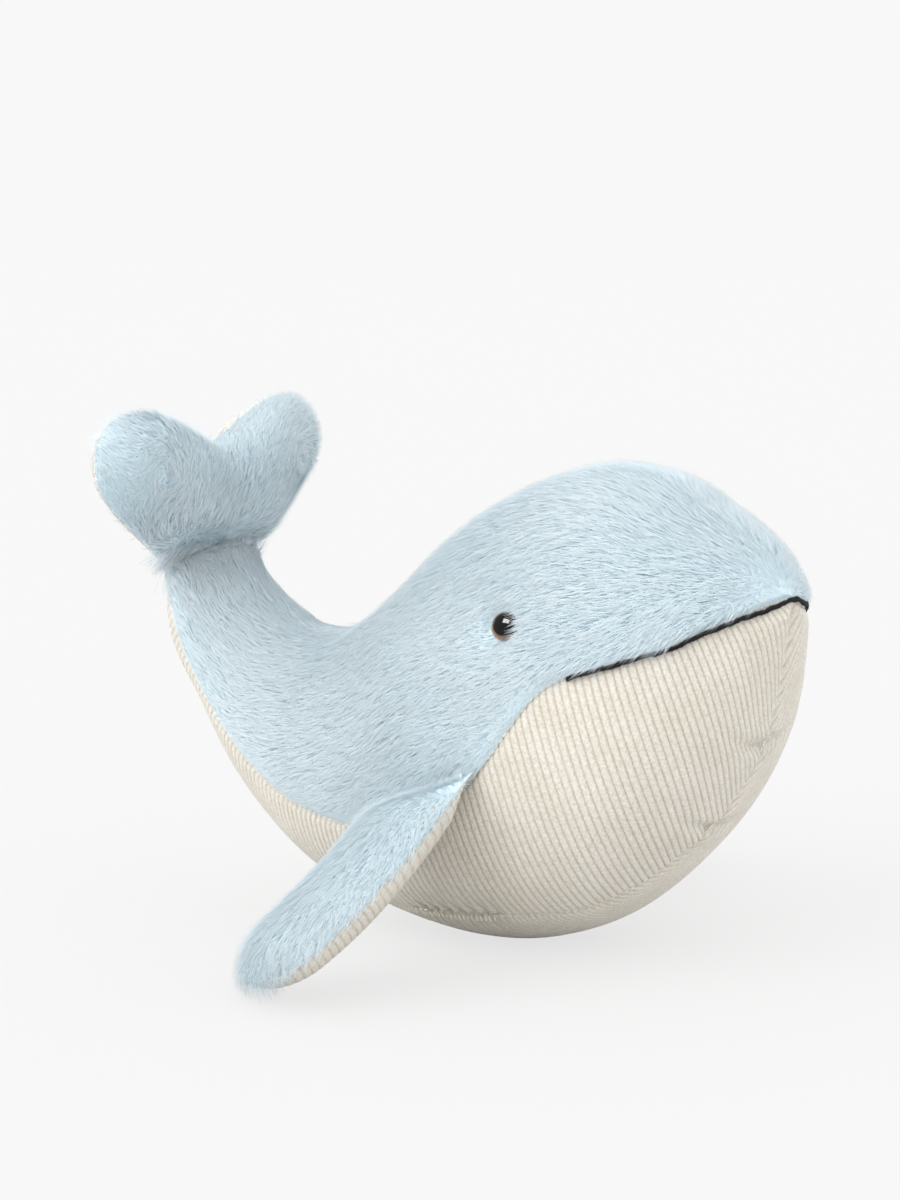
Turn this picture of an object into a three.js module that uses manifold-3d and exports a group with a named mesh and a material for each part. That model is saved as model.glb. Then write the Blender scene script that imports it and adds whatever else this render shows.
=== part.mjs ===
// A stuffed whale of pale blue fur and cream corduroy, lying on its belly with its tail curled up.
// Millimetres, +Z up, +X towards the nose, +Y towards the whale's left side.
// The origin is on the floor, in the middle of the flat patch that the belly rests on.
import * as THREE from "three";
import { mergeVertices } from "three/addons/utils/BufferGeometryUtils.js";
import Module from "manifold-3d";

const wasm = await Module();
wasm.setup();

// Sizes of the body, over the cloth and under the pile of the fur
const noseReach = 128;
const tailReach = 158;
const bodyHeight = 198;
const bodyWidth = 158;
const flatDepth = 0.5;

// Cloth, pile and thread
const cordThickness = 1.6;
const backingThickness = 1.2;
const pileHeight = 5.5;
const pileEdge = 2.5;
const pileRise = 10;
const seamGap = 1.6;
const threadRadius = 0.45;
const threadDepth = 1.1;
const clearance = 0.3;
const fillingClearance = 0.95;
const fillingInset = cordThickness + fillingClearance;

// The belly seam bends to the right under the belly, past the rest patch. The bend is a share of
// half a turn, and the other shares are the stations where it starts, is full, eases and ends.
const seamBendShare = 0.2;
const seamBendShares = [0.17, 0.51, 0.54, 0.82];

// Mouth line of satin stitch
const mouthThreadRadius = 0.7;
const mouthEndShare = 0.352;

// Ladder stitch that closes the belly seam after filling
const closingStartShare = 0.485;
const closingEndShare = 0.57;
const closingStitches = 7;
const closingReach = 2.2;
const closingThreadRadius = 0.4;

// Safety eyes: a domed head on a ribbed shank, held by a washer under the fur
const eyeRadius = 6;
const eyeHeight = 4.8;
const eyeRim = 1;
const shankRadius = 2.1;
const shankLength = 10;
const ribs = 4;
const ribDepth = 0.4;
const washerRadius = 8;
const washerThickness = 1.6;
const washerGap = 0.7;
const eyeSpotRadius = 50;
const eyeAlongShare = 0.426;
const eyeTurnShare = 0.353;

// Fins, one on each side seam
const finTipBack = 38;
const finTipOut = 143;
const finTipUp = 5.5;
const finWidth = 53;
const finThickness = 24;
const finBow = 10;
const finRoundShare = 0.7;
const finTwistShare = 0.45;
const finSwellShare = 0.2;
const finRootFrontShare = 0.46;
const finRootRearShare = 0.57;
const finHingeLift = 5;
const finRootThickness = 3;
const finWedgeSlope = 0.7;
const finTab = 4.5;
const finBodyGap = 0.8;

// Fluke at the end of the tail
const flukeSpan = 166;
const flukeHeight = 65;
const flukeThickness = 27;
const flukeLean = 0.5;
const foldGap = 2.4;
const flukeRootThickness = 2.4;
const flukeWedgeSlope = 0.9;
const flukeValleyWidth = 15;
const flukeValleyShare = 0.35;
const flukeCentreShare = 0.46;
const lobeGap = 0.6;
const pileRimShare = 0.5;

// How finely the surfaces are divided
const bodyRows = 26;
const furColumns = 9;
const cordColumns = 12;
const fillingColumns = 20;
const finRows = 9;
const finColumns = 6;
const flukeRings = 5;
const flukeSteps = 15;
const finFillingColumns = 10;
const flukeFootSteps = 4;
const eyeSegments = 20;
const washerSegments = 16;
const domeSteps = 5;
const threadSides = 5;
const threadSteps = 2;
const closingSteps = 3;
const sampleStep = 0.002;

// Stations from the nose to the fold of the tail. Each row holds, as shares of the body's length,
// height and half width: the back line's place along and up, the belly line's place along and up,
// the half width, the side seam's turn down from the back, and how full the lower half is.
const stationShares = [
  [0, 0.768, 0, 0.768, 0, 0.5, 0],
  [0.024, 0.826, 0.0035, 0.697, 0.228, 0.49, 0.1],
  [0.072, 0.88, 0.0175, 0.562, 0.494, 0.462, 0.2],
  [0.127, 0.93, 0.0525, 0.4, 0.734, 0.455, 0.2],
  [0.193, 0.98, 0.119, 0.243, 0.911, 0.45, 0.2],
  [0.28, 1, 0.227, 0.092, 0.987, 0.458, 0.15],
  [0.378, 0.962, 0.343, 0.017, 1, 0.545, 0.1],
  [0.482, 0.875, 0.4545, 0, 0.962, 0.583, 0.1],
  [0.59, 0.735, 0.5735, 0.026, 0.873, 0.6, 0.1],
  [0.699, 0.622, 0.706, 0.084, 0.747, 0.578, 0.05],
  [0.794, 0.602, 0.815, 0.189, 0.62, 0.578, 0],
  [0.87, 0.647, 0.895, 0.33, 0.52, 0.594, 0],
  [0.923, 0.708, 0.958, 0.516, 0.443, 0.633, 0],
  [0.9615, 0.773, 1, 0.748, 0.392, 0.655, 0],
];
const bodySplitShare = 0.73;
const pileFadeShare = 0.05;
const noseStartShare = 0.014;
const noseCrowding = 1.25;

// Half outline of the fluke from the fold, round the lobe, to the notch between the lobes:
// shares of the half span and of the height.
const lobeOutlineShares = [
  [0.434, 0],
  [0.627, 0.154],
  [0.843, 0.354],
  [0.988, 0.569],
  [1, 0.785],
  [0.867, 0.954],
  [0.639, 1],
  [0.373, 0.908],
  [0.145, 0.785],
  [0, 0.738],
];

const fur = { color: 0xccdee7, roughness: 0.95, metalness: 0 };
const corduroy = { color: 0xe3dfd4, roughness: 0.9, metalness: 0 };
const filling = { color: 0xf4f3ef, roughness: 1, metalness: 0 };
const paleThread = { color: 0xe9e5da, roughness: 0.8, metalness: 0 };
const mouthThread = { color: 0x17171b, roughness: 0.55, metalness: 0 };
const eyePlastic = { color: 0x100c0a, roughness: 0.08, metalness: 0 };
const washerPlastic = { color: 0xf0f0ee, roughness: 0.5, metalness: 0 };

const whale = new THREE.Group();
const sides = { right: -1, left: 1 };

function addPart(parent, name, geometry, look) {
  geometry.computeVertexNormals();
  const mesh = new THREE.Mesh(geometry, new THREE.MeshStandardMaterial(look));
  mesh.name = name;
  parent.add(mesh);
  return mesh;
}

function smooth(value) {
  const v = Math.min(1, Math.max(0, value));
  return v * v * (3 - 2 * v);
}

function catmull(rows, t, before) {
  const last = rows.length - 1;
  const place = Math.min(1, Math.max(0, t)) * last;
  const i = Math.min(Math.floor(place), last - 1);
  const f = place - i;
  const row = (k) => {
    if (k < 0) return before;
    if (k > last) return rows[last].map((value, c) => 2 * value - rows[last - 1][c]);
    return rows[k];
  };
  const [a, b, c, d] = [row(i - 1), row(i), row(i + 1), row(i + 2)];
  return b.map((value, k) => {
    const slope = (c[k] - a[k]) / 2;
    const nextSlope = (d[k] - value) / 2;
    const rise = c[k] - value;
    const cubic = slope + nextSlope - 2 * rise;
    const square = 3 * rise - 2 * slope - nextSlope;
    return value + f * (slope + f * (square + f * cubic));
  });
}

// Beyond the nose the back line runs on as the belly line, so that the nose is round
function beforeNose() {
  const [backAlong, backUp, bellyAlong, bellyUp, half, turn, full] = stationShares[1];
  return [bellyAlong, bellyUp, backAlong, backUp, -half, turn, full];
}

function section(t) {
  const [backAlong, backUp, bellyAlong, bellyUp, half, turn, full] = catmull(stationShares, t, beforeNose());
  const length = noseReach + tailReach;
  const height = bodyHeight + flatDepth;
  const back = { x: noseReach - backAlong * length, z: backUp * height - flatDepth };
  const belly = { x: noseReach - bellyAlong * length, z: bellyUp * height - flatDepth };
  return {
    centre: new THREE.Vector3((back.x + belly.x) / 2, 0, (back.z + belly.z) / 2),
    rise: new THREE.Vector3((back.x - belly.x) / 2, 0, (back.z - belly.z) / 2),
    half: (half * bodyWidth) / 2,
    turn: turn * Math.PI,
    full,
  };
}

function clothPoint(t, turn) {
  const { centre, rise, half, full } = section(t);
  const fullness = Math.cos(turn) < 0 ? 1 + full * Math.cos(turn) ** 2 : 1;
  const point = centre.clone().addScaledVector(rise, Math.cos(turn));
  point.y = half * Math.sin(turn) * fullness;
  return point;
}

function clothNormal(t, turn) {
  const after = Math.min(t + sampleStep, 1);
  const before = Math.max(t - sampleStep, 0);
  const along = clothPoint(after, turn).sub(clothPoint(before, turn));
  const around = clothPoint(t, turn + sampleStep).sub(clothPoint(t, turn - sampleStep));
  return around.cross(along).normalize();
}

function bodyPoint(t, turn, offset) {
  return clothPoint(t, turn).addScaledVector(clothNormal(t, turn), offset);
}

// The turn that spans a given length round the body at one station
function turnFor(length, t, turn) {
  const arc = clothPoint(t, turn + sampleStep).distanceTo(clothPoint(t, turn - sampleStep));
  return (length * 2 * sampleStep) / arc;
}

// The belly seam's turn: half a turn, and more where the seam bends to the right
function bellySeam(t) {
  const [start, full, ease, end] = seamBendShares;
  const bend = smooth((t - start) / (full - start)) * smooth((end - t) / (end - ease));
  return Math.PI * (1 + seamBendShare * bend);
}

function sideSeam(t) {
  return section(t).turn;
}

// The pile stands proud of the cloth. It is lower along the side seam, except at the nose, and at
// the end of the tail.
function pileAt(t, turn) {
  const seam = sideSeam(t);
  const rise = smooth((seam - Math.abs(turn)) / turnFor(pileRise, t, seam));
  const fade = smooth((1 - t) / pileFadeShare);
  const edge = pileEdge * smooth(1 - t / mouthEndShare);
  return (edge + (pileHeight - edge) * rise) * fade;
}

// Geometry from points and triangles, turned so that the faces point out
function closedGeometry(points, triangles) {
  let volume = 0;
  for (const [a, b, c] of triangles) {
    volume += points[a].dot(points[b].clone().cross(points[c]));
  }
  const ordered = volume < 0 ? triangles.map(([a, b, c]) => [a, c, b]) : triangles;
  const geometry = new THREE.BufferGeometry();
  const numbers = points.flatMap((point) => point.toArray());
  geometry.setAttribute("position", new THREE.Float32BufferAttribute(numbers, 3));
  geometry.setIndex(ordered.flat());
  return geometry;
}

// A sheet with a thickness: two grids of points, joined round their edges
function sheet(outer, inner) {
  const rows = outer.length;
  const columns = outer[0].length;
  const points = [...outer.flat(), ...inner.flat()];
  const at = (side, i, j) => side * rows * columns + i * columns + j;
  const triangles = [];
  const quad = (a, b, c, d) => triangles.push([a, b, c], [a, c, d]);
  for (let i = 0; i < rows - 1; i += 1) {
    for (let j = 0; j < columns - 1; j += 1) {
      quad(at(0, i, j), at(0, i + 1, j), at(0, i + 1, j + 1), at(0, i, j + 1));
      quad(at(1, i, j), at(1, i, j + 1), at(1, i + 1, j + 1), at(1, i + 1, j));
    }
    quad(at(0, i, 0), at(1, i, 0), at(1, i + 1, 0), at(0, i + 1, 0));
    const end = columns - 1;
    quad(at(0, i, end), at(0, i + 1, end), at(1, i + 1, end), at(1, i, end));
  }
  for (let j = 0; j < columns - 1; j += 1) {
    const end = rows - 1;
    quad(at(0, 0, j), at(0, 0, j + 1), at(1, 0, j + 1), at(1, 0, j));
    quad(at(0, end, j), at(1, end, j), at(1, end, j + 1), at(0, end, j + 1));
  }
  return closedGeometry(points, triangles);
}

// A solid through closed rings of points, with a fan over each end from its middle or a given point
function loft(rings, ends) {
  const count = rings[0].length;
  const points = rings.flat();
  const triangles = [];
  rings.slice(1).forEach((ring, i) => {
    for (let j = 0; j < count; j += 1) {
      const next = (j + 1) % count;
      const [a, b] = [i * count + j, i * count + next];
      const [c, d] = [a + count, b + count];
      triangles.push([a, c, d], [a, d, b]);
    }
  });
  const middle = (ring) => ring.reduce((sum, p) => sum.add(p), new THREE.Vector3()).divideScalar(count);
  const [firstEnd, lastEnd] = ends ?? [middle(rings[0]), middle(rings[rings.length - 1])];
  const first = points.push(firstEnd) - 1;
  const last = points.push(lastEnd) - 1;
  const start = (rings.length - 1) * count;
  for (let j = 0; j < count; j += 1) {
    const next = (j + 1) % count;
    triangles.push([first, j, next], [last, start + next, start + j]);
  }
  return closedGeometry(points, triangles);
}

function thread(points, radius, stepsEach) {
  const ring = new THREE.Shape();
  const corners = Array.from({ length: threadSides }, (unused, k) => {
    const angle = (k / threadSides) * 2 * Math.PI;
    return new THREE.Vector2(radius * Math.cos(angle), radius * Math.sin(angle));
  });
  ring.setFromPoints(corners);
  const path = new THREE.CatmullRomCurve3(points);
  const steps = stepsEach * (points.length - 1);
  return new THREE.ExtrudeGeometry(ring, { steps, bevelEnabled: false, extrudePath: path });
}

// Stations of the body between two shares of its length, closer together towards the nose
function stationsBetween(from, to) {
  const all = spread(bodyRows, 0, 1).map((u) => noseStartShare + (1 - noseStartShare) * u ** noseCrowding);
  const least = 1 / (4 * bodyRows);
  const between = all.filter((t) => t > from + least && t < to - least);
  return [from, ...between, to];
}

function spread(count, from, to) {
  return Array.from({ length: count + 1 }, (unused, k) => from + ((to - from) * k) / count);
}

// Solids for cutting and joining
function toSolid(geometry) {
  const bare = new THREE.BufferGeometry();
  bare.setAttribute("position", geometry.getAttribute("position").clone());
  if (geometry.index) bare.setIndex(geometry.index.clone());
  const merged = mergeVertices(bare);
  const vertProperties = new Float32Array(merged.getAttribute("position").array);
  const triVerts = new Uint32Array(merged.index.array);
  return new wasm.Manifold(new wasm.Mesh({ numProp: 3, vertProperties, triVerts }));
}

function fromSolid(solid) {
  const { numProp, vertProperties, triVerts } = solid.getMesh();
  const count = vertProperties.length / numProp;
  const numbers = new Float32Array(count * 3);
  for (let i = 0; i < count; i += 1) {
    numbers.set(vertProperties.subarray(i * numProp, i * numProp + 3), i * 3);
  }
  const geometry = new THREE.BufferGeometry();
  geometry.setAttribute("position", new THREE.BufferAttribute(numbers, 3));
  geometry.setIndex(new THREE.BufferAttribute(new Uint32Array(triVerts), 1));
  return geometry;
}

function cut(geometry, ...cutters) {
  return fromSolid(cutters.reduce((solid, cutter) => solid.subtract(toSolid(cutter)), toSolid(geometry)));
}

// The floor as a block, for cutting the rest patch flat
function floorBlock() {
  const reach = noseReach + tailReach;
  const block = new THREE.BoxGeometry(reach, bodyWidth, bodyHeight);
  block.translate(0, 0, -bodyHeight / 2);
  return block;
}

// Body panels between two seams; turns run from the back on the given side
function bodyPanel(side, from, to, columns, outerOffset, innerOffset) {
  const grid = (offset) => stationsBetween(noseStartShare, 1).map((t) => {
    const start = from(t) + turnFor(seamGap / 2, t, from(t));
    const end = to(t) - turnFor(seamGap / 2, t, to(t));
    return spread(columns, start, end).map((turn) => bodyPoint(t, side * turn, offset(t, turn)));
  });
  return sheet(grid(outerOffset), grid(innerOffset));
}

// Turns count down on the right side, so the bend of the belly seam changes its sign there
function bellyTurn(side) {
  return (t) => (side > 0 ? bellySeam(t) : 2 * Math.PI - bellySeam(t));
}

function eyeFrame(side) {
  const turn = side * eyeTurnShare * Math.PI;
  const out = clothNormal(eyeAlongShare, turn);
  return {
    place: clothPoint(eyeAlongShare, turn),
    turned: new THREE.Quaternion().setFromUnitVectors(new THREE.Vector3(0, 1, 0), out),
  };
}

// The washer lies as deep as the rounded head falls away under its rim
function washerTop() {
  const fall = (washerRadius * washerRadius) / (2 * eyeSpotRadius);
  return -(backingThickness + fall + washerGap);
}

function turned(profile, segments) {
  return new THREE.LatheGeometry(profile.map(([r, h]) => new THREE.Vector2(r, h)), segments);
}

function eyeProfile() {
  const profile = [[0, clearance - shankLength]];
  const pitch = (shankLength - eyeRim) / ribs;
  for (let k = 0; k < ribs; k += 1) {
    const base = clearance - shankLength + k * pitch;
    profile.push([shankRadius - ribDepth, base], [shankRadius, base + pitch / 2]);
  }
  profile.push([shankRadius - ribDepth, clearance], [eyeRadius - eyeRim / 2, clearance]);
  profile.push([eyeRadius, clearance + eyeRim / 2]);
  for (let k = 1; k < domeSteps; k += 1) {
    const angle = (k / domeSteps) * (Math.PI / 2);
    const up = clearance + eyeRim + (eyeHeight - eyeRim) * Math.sin(angle);
    profile.push([eyeRadius * Math.cos(angle), up]);
  }
  profile.push([0, clearance + eyeHeight]);
  return profile;
}

function washerProfile() {
  const bore = shankRadius + clearance;
  const top = washerTop();
  const low = top - washerThickness;
  return [[bore, low], [washerRadius, low], [washerRadius, top], [bore, top], [bore, low]];
}

function placed(geometry, frame) {
  geometry.applyQuaternion(frame.turned);
  geometry.translate(frame.place.x, frame.place.y, frame.place.z);
  return geometry;
}

// The hole through the fur round the eye and its shank
function eyeHole(frame) {
  const wide = eyeRadius + clearance;
  const narrow = shankRadius + clearance;
  const top = 2 * (eyeHeight + pileHeight);
  const profile = [[0, -shankLength], [narrow, -shankLength], [narrow, 0], [wide, 0], [wide, top], [0, top]];
  return placed(turned(profile, eyeSegments), frame);
}

// The pocket in the filling that takes the washer and the shank
function washerPocket(frame) {
  const wide = washerRadius + clearance;
  const narrow = shankRadius + clearance;
  const low = washerTop() - washerThickness - clearance;
  const deep = -shankLength - clearance;
  const profile = [[0, deep], [narrow, deep], [narrow, low], [wide, low], [wide, eyeHeight], [0, eyeHeight]];
  return placed(turned(profile, washerSegments), frame);
}

function addBodySkins() {
  const floor = floorBlock();
  const none = () => 0;
  for (const [label, side] of Object.entries(sides)) {
    const panel = bodyPanel(side, none, sideSeam, furColumns, pileAt, () => -backingThickness);
    addPart(whale, `back_fur_${label}`, cut(panel, eyeHole(eyeFrame(side))), fur);
    const belly = bodyPanel(side, sideSeam, bellyTurn(side), cordColumns, none, () => -cordThickness);
    addPart(whale, `belly_cord_${label}`, cut(belly, floor), corduroy);
  }
}

function bodyRings(from, to, offset) {
  return stationsBetween(from, to).map((t) => {
    const turns = spread(fillingColumns, 0, 2 * Math.PI).slice(0, -1);
    return turns.map((turn) => bodyPoint(t, turn, offset(t, turn)));
  });
}

function addBodyFilling() {
  const inset = () => -fillingInset;
  const gap = clearance / (noseReach + tailReach);
  const front = loft(bodyRings(2 * noseStartShare, bodySplitShare, inset));
  const pockets = Object.values(sides).map((side) => washerPocket(eyeFrame(side)));
  addPart(whale, "body_filling", cut(front, ...pockets), filling);
  const rear = loft(bodyRings(bodySplitShare + 2 * gap, 1, inset));
  addPart(whale, "tail_filling", rear, filling);
}

// A ring of points about a place on the cloth, for a thread that follows a seam.
// Turns on the two sides have opposite signs, and a smaller turn is nearer the back on both.
function seamRing(t, turn, lift, radius) {
  const centre = bodyPoint(t, turn, lift);
  const out = clothNormal(t, turn);
  const towardsBack = clothPoint(t, turn * (1 - sampleStep)).sub(clothPoint(t, turn)).normalize();
  return spread(threadSides, 0, 2 * Math.PI).slice(0, -1).map((angle) => centre.clone()
    .addScaledVector(out, radius * Math.cos(angle))
    .addScaledVector(towardsBack, radius * Math.sin(angle)));
}

function seamThread(from, to, turnAt) {
  const rings = stationsBetween(from, to).map((t) => seamRing(t, turnAt(t), -threadDepth, threadRadius));
  return loft(rings);
}

function addBodyThreads() {
  const start = 2 * noseStartShare;
  for (const [label, side] of Object.entries(sides)) {
    const seam = seamThread(start, 1, (t) => side * sideSeam(t));
    addPart(whale, `side_seam_thread_${label}`, seam, paleThread);
  }
  const wholeTurn = () => 2 * Math.PI;
  addPart(whale, "back_seam_thread", seamThread(start, 1, wholeTurn), paleThread);
  addPart(whale, "belly_seam_thread", seamThread(start, closingStartShare, bellySeam), paleThread);
  addPart(whale, "tail_seam_thread", seamThread(closingEndShare, 1, bellySeam), paleThread);
}

// The ladder stitch crosses the belly seam from side to side on the outside of the cloth
function addClosingThread() {
  const lift = clearance + closingThreadRadius;
  const count = 2 * closingStitches;
  const points = spread(count, closingStartShare, closingEndShare).map((t, k) => {
    const sway = k % 2 === 0 ? closingReach : -closingReach;
    const turn = bellySeam(t) + turnFor(sway, t, bellySeam(t));
    return bodyPoint(t, turn, lift + clearance);
  });
  addPart(whale, "closing_thread", thread(points, closingThreadRadius, closingSteps), paleThread);
}

function addMouth() {
  const lift = clearance + mouthThreadRadius;
  const stations = stationsBetween(noseStartShare, mouthEndShare);
  const half = (side) => stations.map((t) => seamRing(t, side * sideSeam(t), lift, mouthThreadRadius));
  const rings = [...half(sides.right).reverse(), ...half(sides.left)];
  addPart(whale, "mouth_stitching", loft(rings), mouthThread);
}

function addEyes() {
  for (const [label, side] of Object.entries(sides)) {
    const frame = eyeFrame(side);
    const button = turned(eyeProfile(), eyeSegments);
    const disc = turned(washerProfile(), washerSegments);
    const eye = addPart(whale, `eye_${label}`, button, eyePlastic);
    const washer = addPart(whale, `eye_washer_${label}`, disc, washerPlastic);
    for (const mesh of [eye, washer]) {
      mesh.position.copy(frame.place);
      mesh.quaternion.copy(frame.turned);
    }
  }
}

// A fin's own directions: from its root to its tip, along its root, and through its thickness
function finFrame(side) {
  const lifted = (t) => bodyPoint(t, side * sideSeam(t), finHingeLift);
  const front = lifted(finRootFrontShare);
  const rear = lifted(finRootRearShare);
  const root = front.clone().add(rear).divideScalar(2);
  const reach = new THREE.Vector3(-finTipBack, side * finTipOut, finTipUp).sub(root);
  const length = reach.length();
  const along = reach.normalize();
  const rootLine = front.clone().sub(rear);
  const rootWidth = rootLine.length();
  rootLine.normalize();
  const square = rootLine.clone().addScaledVector(along, -rootLine.dot(along)).normalize();
  const through = along.clone().cross(square).multiplyScalar(-side).normalize();
  return { root, length, along, rootLine, rootWidth, square, through };
}

// A point of a fin: s runs from the root line, 0, to the tip, 1; turn 0 is the leading edge
function finPoint(frame, s, turn, offset, push) {
  const { root, length, along, rootLine, rootWidth, square, through } = frame;
  const blend = smooth(s / finTwistShare);
  const across = rootLine.clone().lerp(square, blend).normalize();
  const taper = Math.max(0, (s - finRoundShare) / (1 - finRoundShare));
  const round = Math.sqrt(Math.max(0, 1 - taper * taper));
  const width = rootWidth / 2 + (finWidth / 2 - rootWidth / 2) * blend;
  const reach = s * (length + offset);
  const swell = 1 - finSwellShare + finSwellShare * Math.sin(Math.PI * Math.max(0, s));
  const full = (finThickness / 2) * swell * round;
  const wedge = finRootThickness / 2 + finWedgeSlope * Math.max(0, reach);
  const thick = Math.min(full + (offset + push) * round, wedge + Math.min(offset, 0));
  const bow = finBow * Math.sin(Math.PI * Math.max(0, s));
  return root.clone()
    .addScaledVector(along, reach)
    .addScaledVector(across, (width * round + offset * round) * Math.cos(turn) + bow)
    .addScaledVector(through, thick * Math.sin(turn));
}

// Shares along the fin, closer together at the rounded tip
function finShares(frame) {
  const tip = spread(finRows, 0, Math.PI / 2).map((angle) => Math.sin(angle));
  return [-finTab / frame.length, ...tip.slice(0, -1), 1 - clearance / frame.length];
}

function finSkin(side, frame, up, offset, push) {
  const gap = seamGap / 2;
  const grid = (depth, extra) => finShares(frame).map((s) => {
    const start = Math.asin(Math.min(1, (2 * gap) / finThickness));
    const turns = spread(finColumns, start, Math.PI - start).map((turn) => up * turn);
    return turns.map((turn) => finPoint(frame, s, turn, depth, extra * Math.abs(Math.sin(turn)))
      .addScaledVector(frame.through, up * gap));
  });
  return sheet(grid(0, push), grid(offset, 0));
}

function finFilling(frame) {
  const turns = spread(finFillingColumns, 0, 2 * Math.PI).slice(0, -1);
  const shares = finShares(frame).slice(1, -1);
  return loft(shares.map((s) => turns.map((turn) => finPoint(frame, s, turn, -fillingInset, 0))));
}

// Everything within reach of the body's own surface, for cutting the roots of the fins
function bodySpace() {
  const around = (t, turn) => {
    const folded = Math.abs(Math.atan2(Math.sin(turn), Math.cos(turn)));
    return finBodyGap + (folded < sideSeam(t) ? pileAt(t, folded) : 0);
  };
  return loft(bodyRings(noseStartShare, bodySplitShare, around));
}

function addFins() {
  const space = bodySpace();
  for (const [label, side] of Object.entries(sides)) {
    const frame = finFrame(side);
    const furSkin = finSkin(side, frame, 1, -backingThickness, pileHeight);
    addPart(whale, `fin_${label}_fur`, cut(furSkin, space), fur);
    const cordSkin = finSkin(side, frame, -1, -cordThickness, 0);
    addPart(whale, `fin_${label}_cord`, cut(cordSkin, space), corduroy);
    addPart(whale, `fin_${label}_filling`, cut(finFilling(frame), space), filling);
    const edge = spread(2 * finRows, 0, 2).map((u) => {
      const s = Math.sin((Math.min(u, 2 - u) * Math.PI) / 2) * (1 - clearance / frame.length);
      return finPoint(frame, Math.max(s, finTab / frame.length), u < 1 ? 0 : Math.PI, -threadDepth, 0);
    });
    addPart(whale, `fin_${label}_seam_thread`, thread(edge, threadRadius, threadSteps), paleThread);
  }
}

// The fluke stands on the fold at the end of the tail
function flukeFrame() {
  const { centre, rise } = section(1);
  const up = new THREE.Vector3(0, 1, 0).cross(rise.clone().normalize()).negate();
  const foot = centre.clone().addScaledVector(up, foldGap);
  return { foot, plane: foot.x - flukeLean, floor: foot.z };
}

function lobeOutline(offset) {
  const half = spread(flukeSteps, 0, 1).map((t) => {
    const before = lobeOutlineShares[0].map((value, k) => 2 * value - lobeOutlineShares[1][k]);
    const [out, up] = catmull(lobeOutlineShares, t, before);
    return new THREE.Vector2((out * flukeSpan) / 2, up * flukeHeight);
  });
  const mirrored = half.slice(0, -1).reverse().map((p) => new THREE.Vector2(-p.x, p.y));
  const foot = spread(flukeFootSteps, -half[0].x, half[0].x).slice(1, -1).map((y) => new THREE.Vector2(y, 0));
  const loop = [...half, ...mirrored, ...foot];
  return loop.map((p, k) => {
    const before = loop[(k + loop.length - 1) % loop.length];
    const after = loop[(k + 1) % loop.length];
    const out = new THREE.Vector2(after.y - before.y, before.x - after.x).normalize();
    return p.clone().addScaledVector(out, offset);
  });
}

function flukePoint(frame, edge, r, face, offset, push) {
  const centreUp = flukeCentreShare * flukeHeight;
  const reach = Math.sin((r * Math.PI) / 2);
  const y = edge.x * reach;
  const up = centreUp + (edge.y - centreUp) * reach;
  const valley = 1 - flukeValleyShare * Math.exp(-((y / flukeValleyWidth) ** 2));
  const swell = Math.cos((r * Math.PI) / 2);
  const full = ((flukeThickness / 2) * valley + offset) * swell + push * smooth((1 - r) / pileRimShare);
  const wedge = flukeRootThickness / 2 + flukeWedgeSlope * Math.max(0, up);
  const thick = Math.min(full, wedge + Math.min(offset, 0));
  return new THREE.Vector3(frame.plane + face * (seamGap / 2 + thick), y, frame.floor + up);
}

// A face of the fluke as a solid: rings out from the middle, closed round the rim
function flukeSkin(frame, face, offset, push) {
  const outer = lobeOutline(0);
  const inner = lobeOutline(offset);
  const shares = spread(flukeRings, 0, 1).slice(1);
  const rings = [
    ...shares.map((r) => outer.map((edge) => flukePoint(frame, edge, r, face, 0, push))),
    ...shares.reverse().map((r) => inner.map((edge) => flukePoint(frame, edge, r, face, offset, 0))),
  ];
  const middle = new THREE.Vector2(0, 0);
  const ends = [flukePoint(frame, middle, 0, face, 0, push), flukePoint(frame, middle, 0, face, offset, 0)];
  return loft(rings, ends);
}

function flukeFilling(frame) {
  const edge = lobeOutline(-fillingInset);
  const front = spread(flukeRings, 0, 1).slice(1, -1);
  const rings = [
    ...front.map((r) => edge.map((p) => flukePoint(frame, p, r, 1, -fillingInset, 0))),
    ...front.reverse().map((r) => edge.map((p) => flukePoint(frame, p, r, -1, -fillingInset, 0))),
  ];
  const middle = new THREE.Vector2(0, 0);
  return loft(rings, [1, -1].map((face) => flukePoint(frame, middle, 0, face, -fillingInset, 0)));
}

function addFluke() {
  const frame = flukeFrame();
  addPart(whale, "fluke_fur", flukeSkin(frame, 1, -backingThickness, pileHeight), fur);
  addPart(whale, "fluke_cord", flukeSkin(frame, -1, -cordThickness, 0), corduroy);
  const whole = flukeFilling(frame);
  for (const [label, side] of Object.entries(sides)) {
    const other = new THREE.BoxGeometry(flukeSpan, flukeSpan, 2 * flukeHeight);
    other.translate(frame.plane, side * (lobeGap / 2 - flukeSpan / 2), frame.floor + flukeHeight / 2);
    addPart(whale, `fluke_filling_${label}`, cut(whole, other), filling);
  }
  const rim = lobeOutline(-threadDepth);
  const open = rim.slice(0, 2 * flukeSteps + 1);
  const path = open.map((p) => new THREE.Vector3(frame.plane, p.x, frame.floor + p.y));
  path[0].z += threadDepth;
  path[path.length - 1].z += threadDepth;
  addPart(whale, "fluke_seam_thread", thread(path, threadRadius, threadSteps), paleThread);
  const half = (lobeOutlineShares[0][0] * flukeSpan) / 2;
  const row = spread(flukeFootSteps, -half, half)
    .map((y) => new THREE.Vector3(frame.foot.x, y, frame.floor - foldGap / 2));
  addPart(whale, "fluke_fold_thread", thread(row, threadRadius, threadSteps), paleThread);
}

addBodySkins();
addBodyFilling();
addBodyThreads();
addClosingThread();
addMouth();
addEyes();
addFins();
addFluke();

export default whale;
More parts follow.
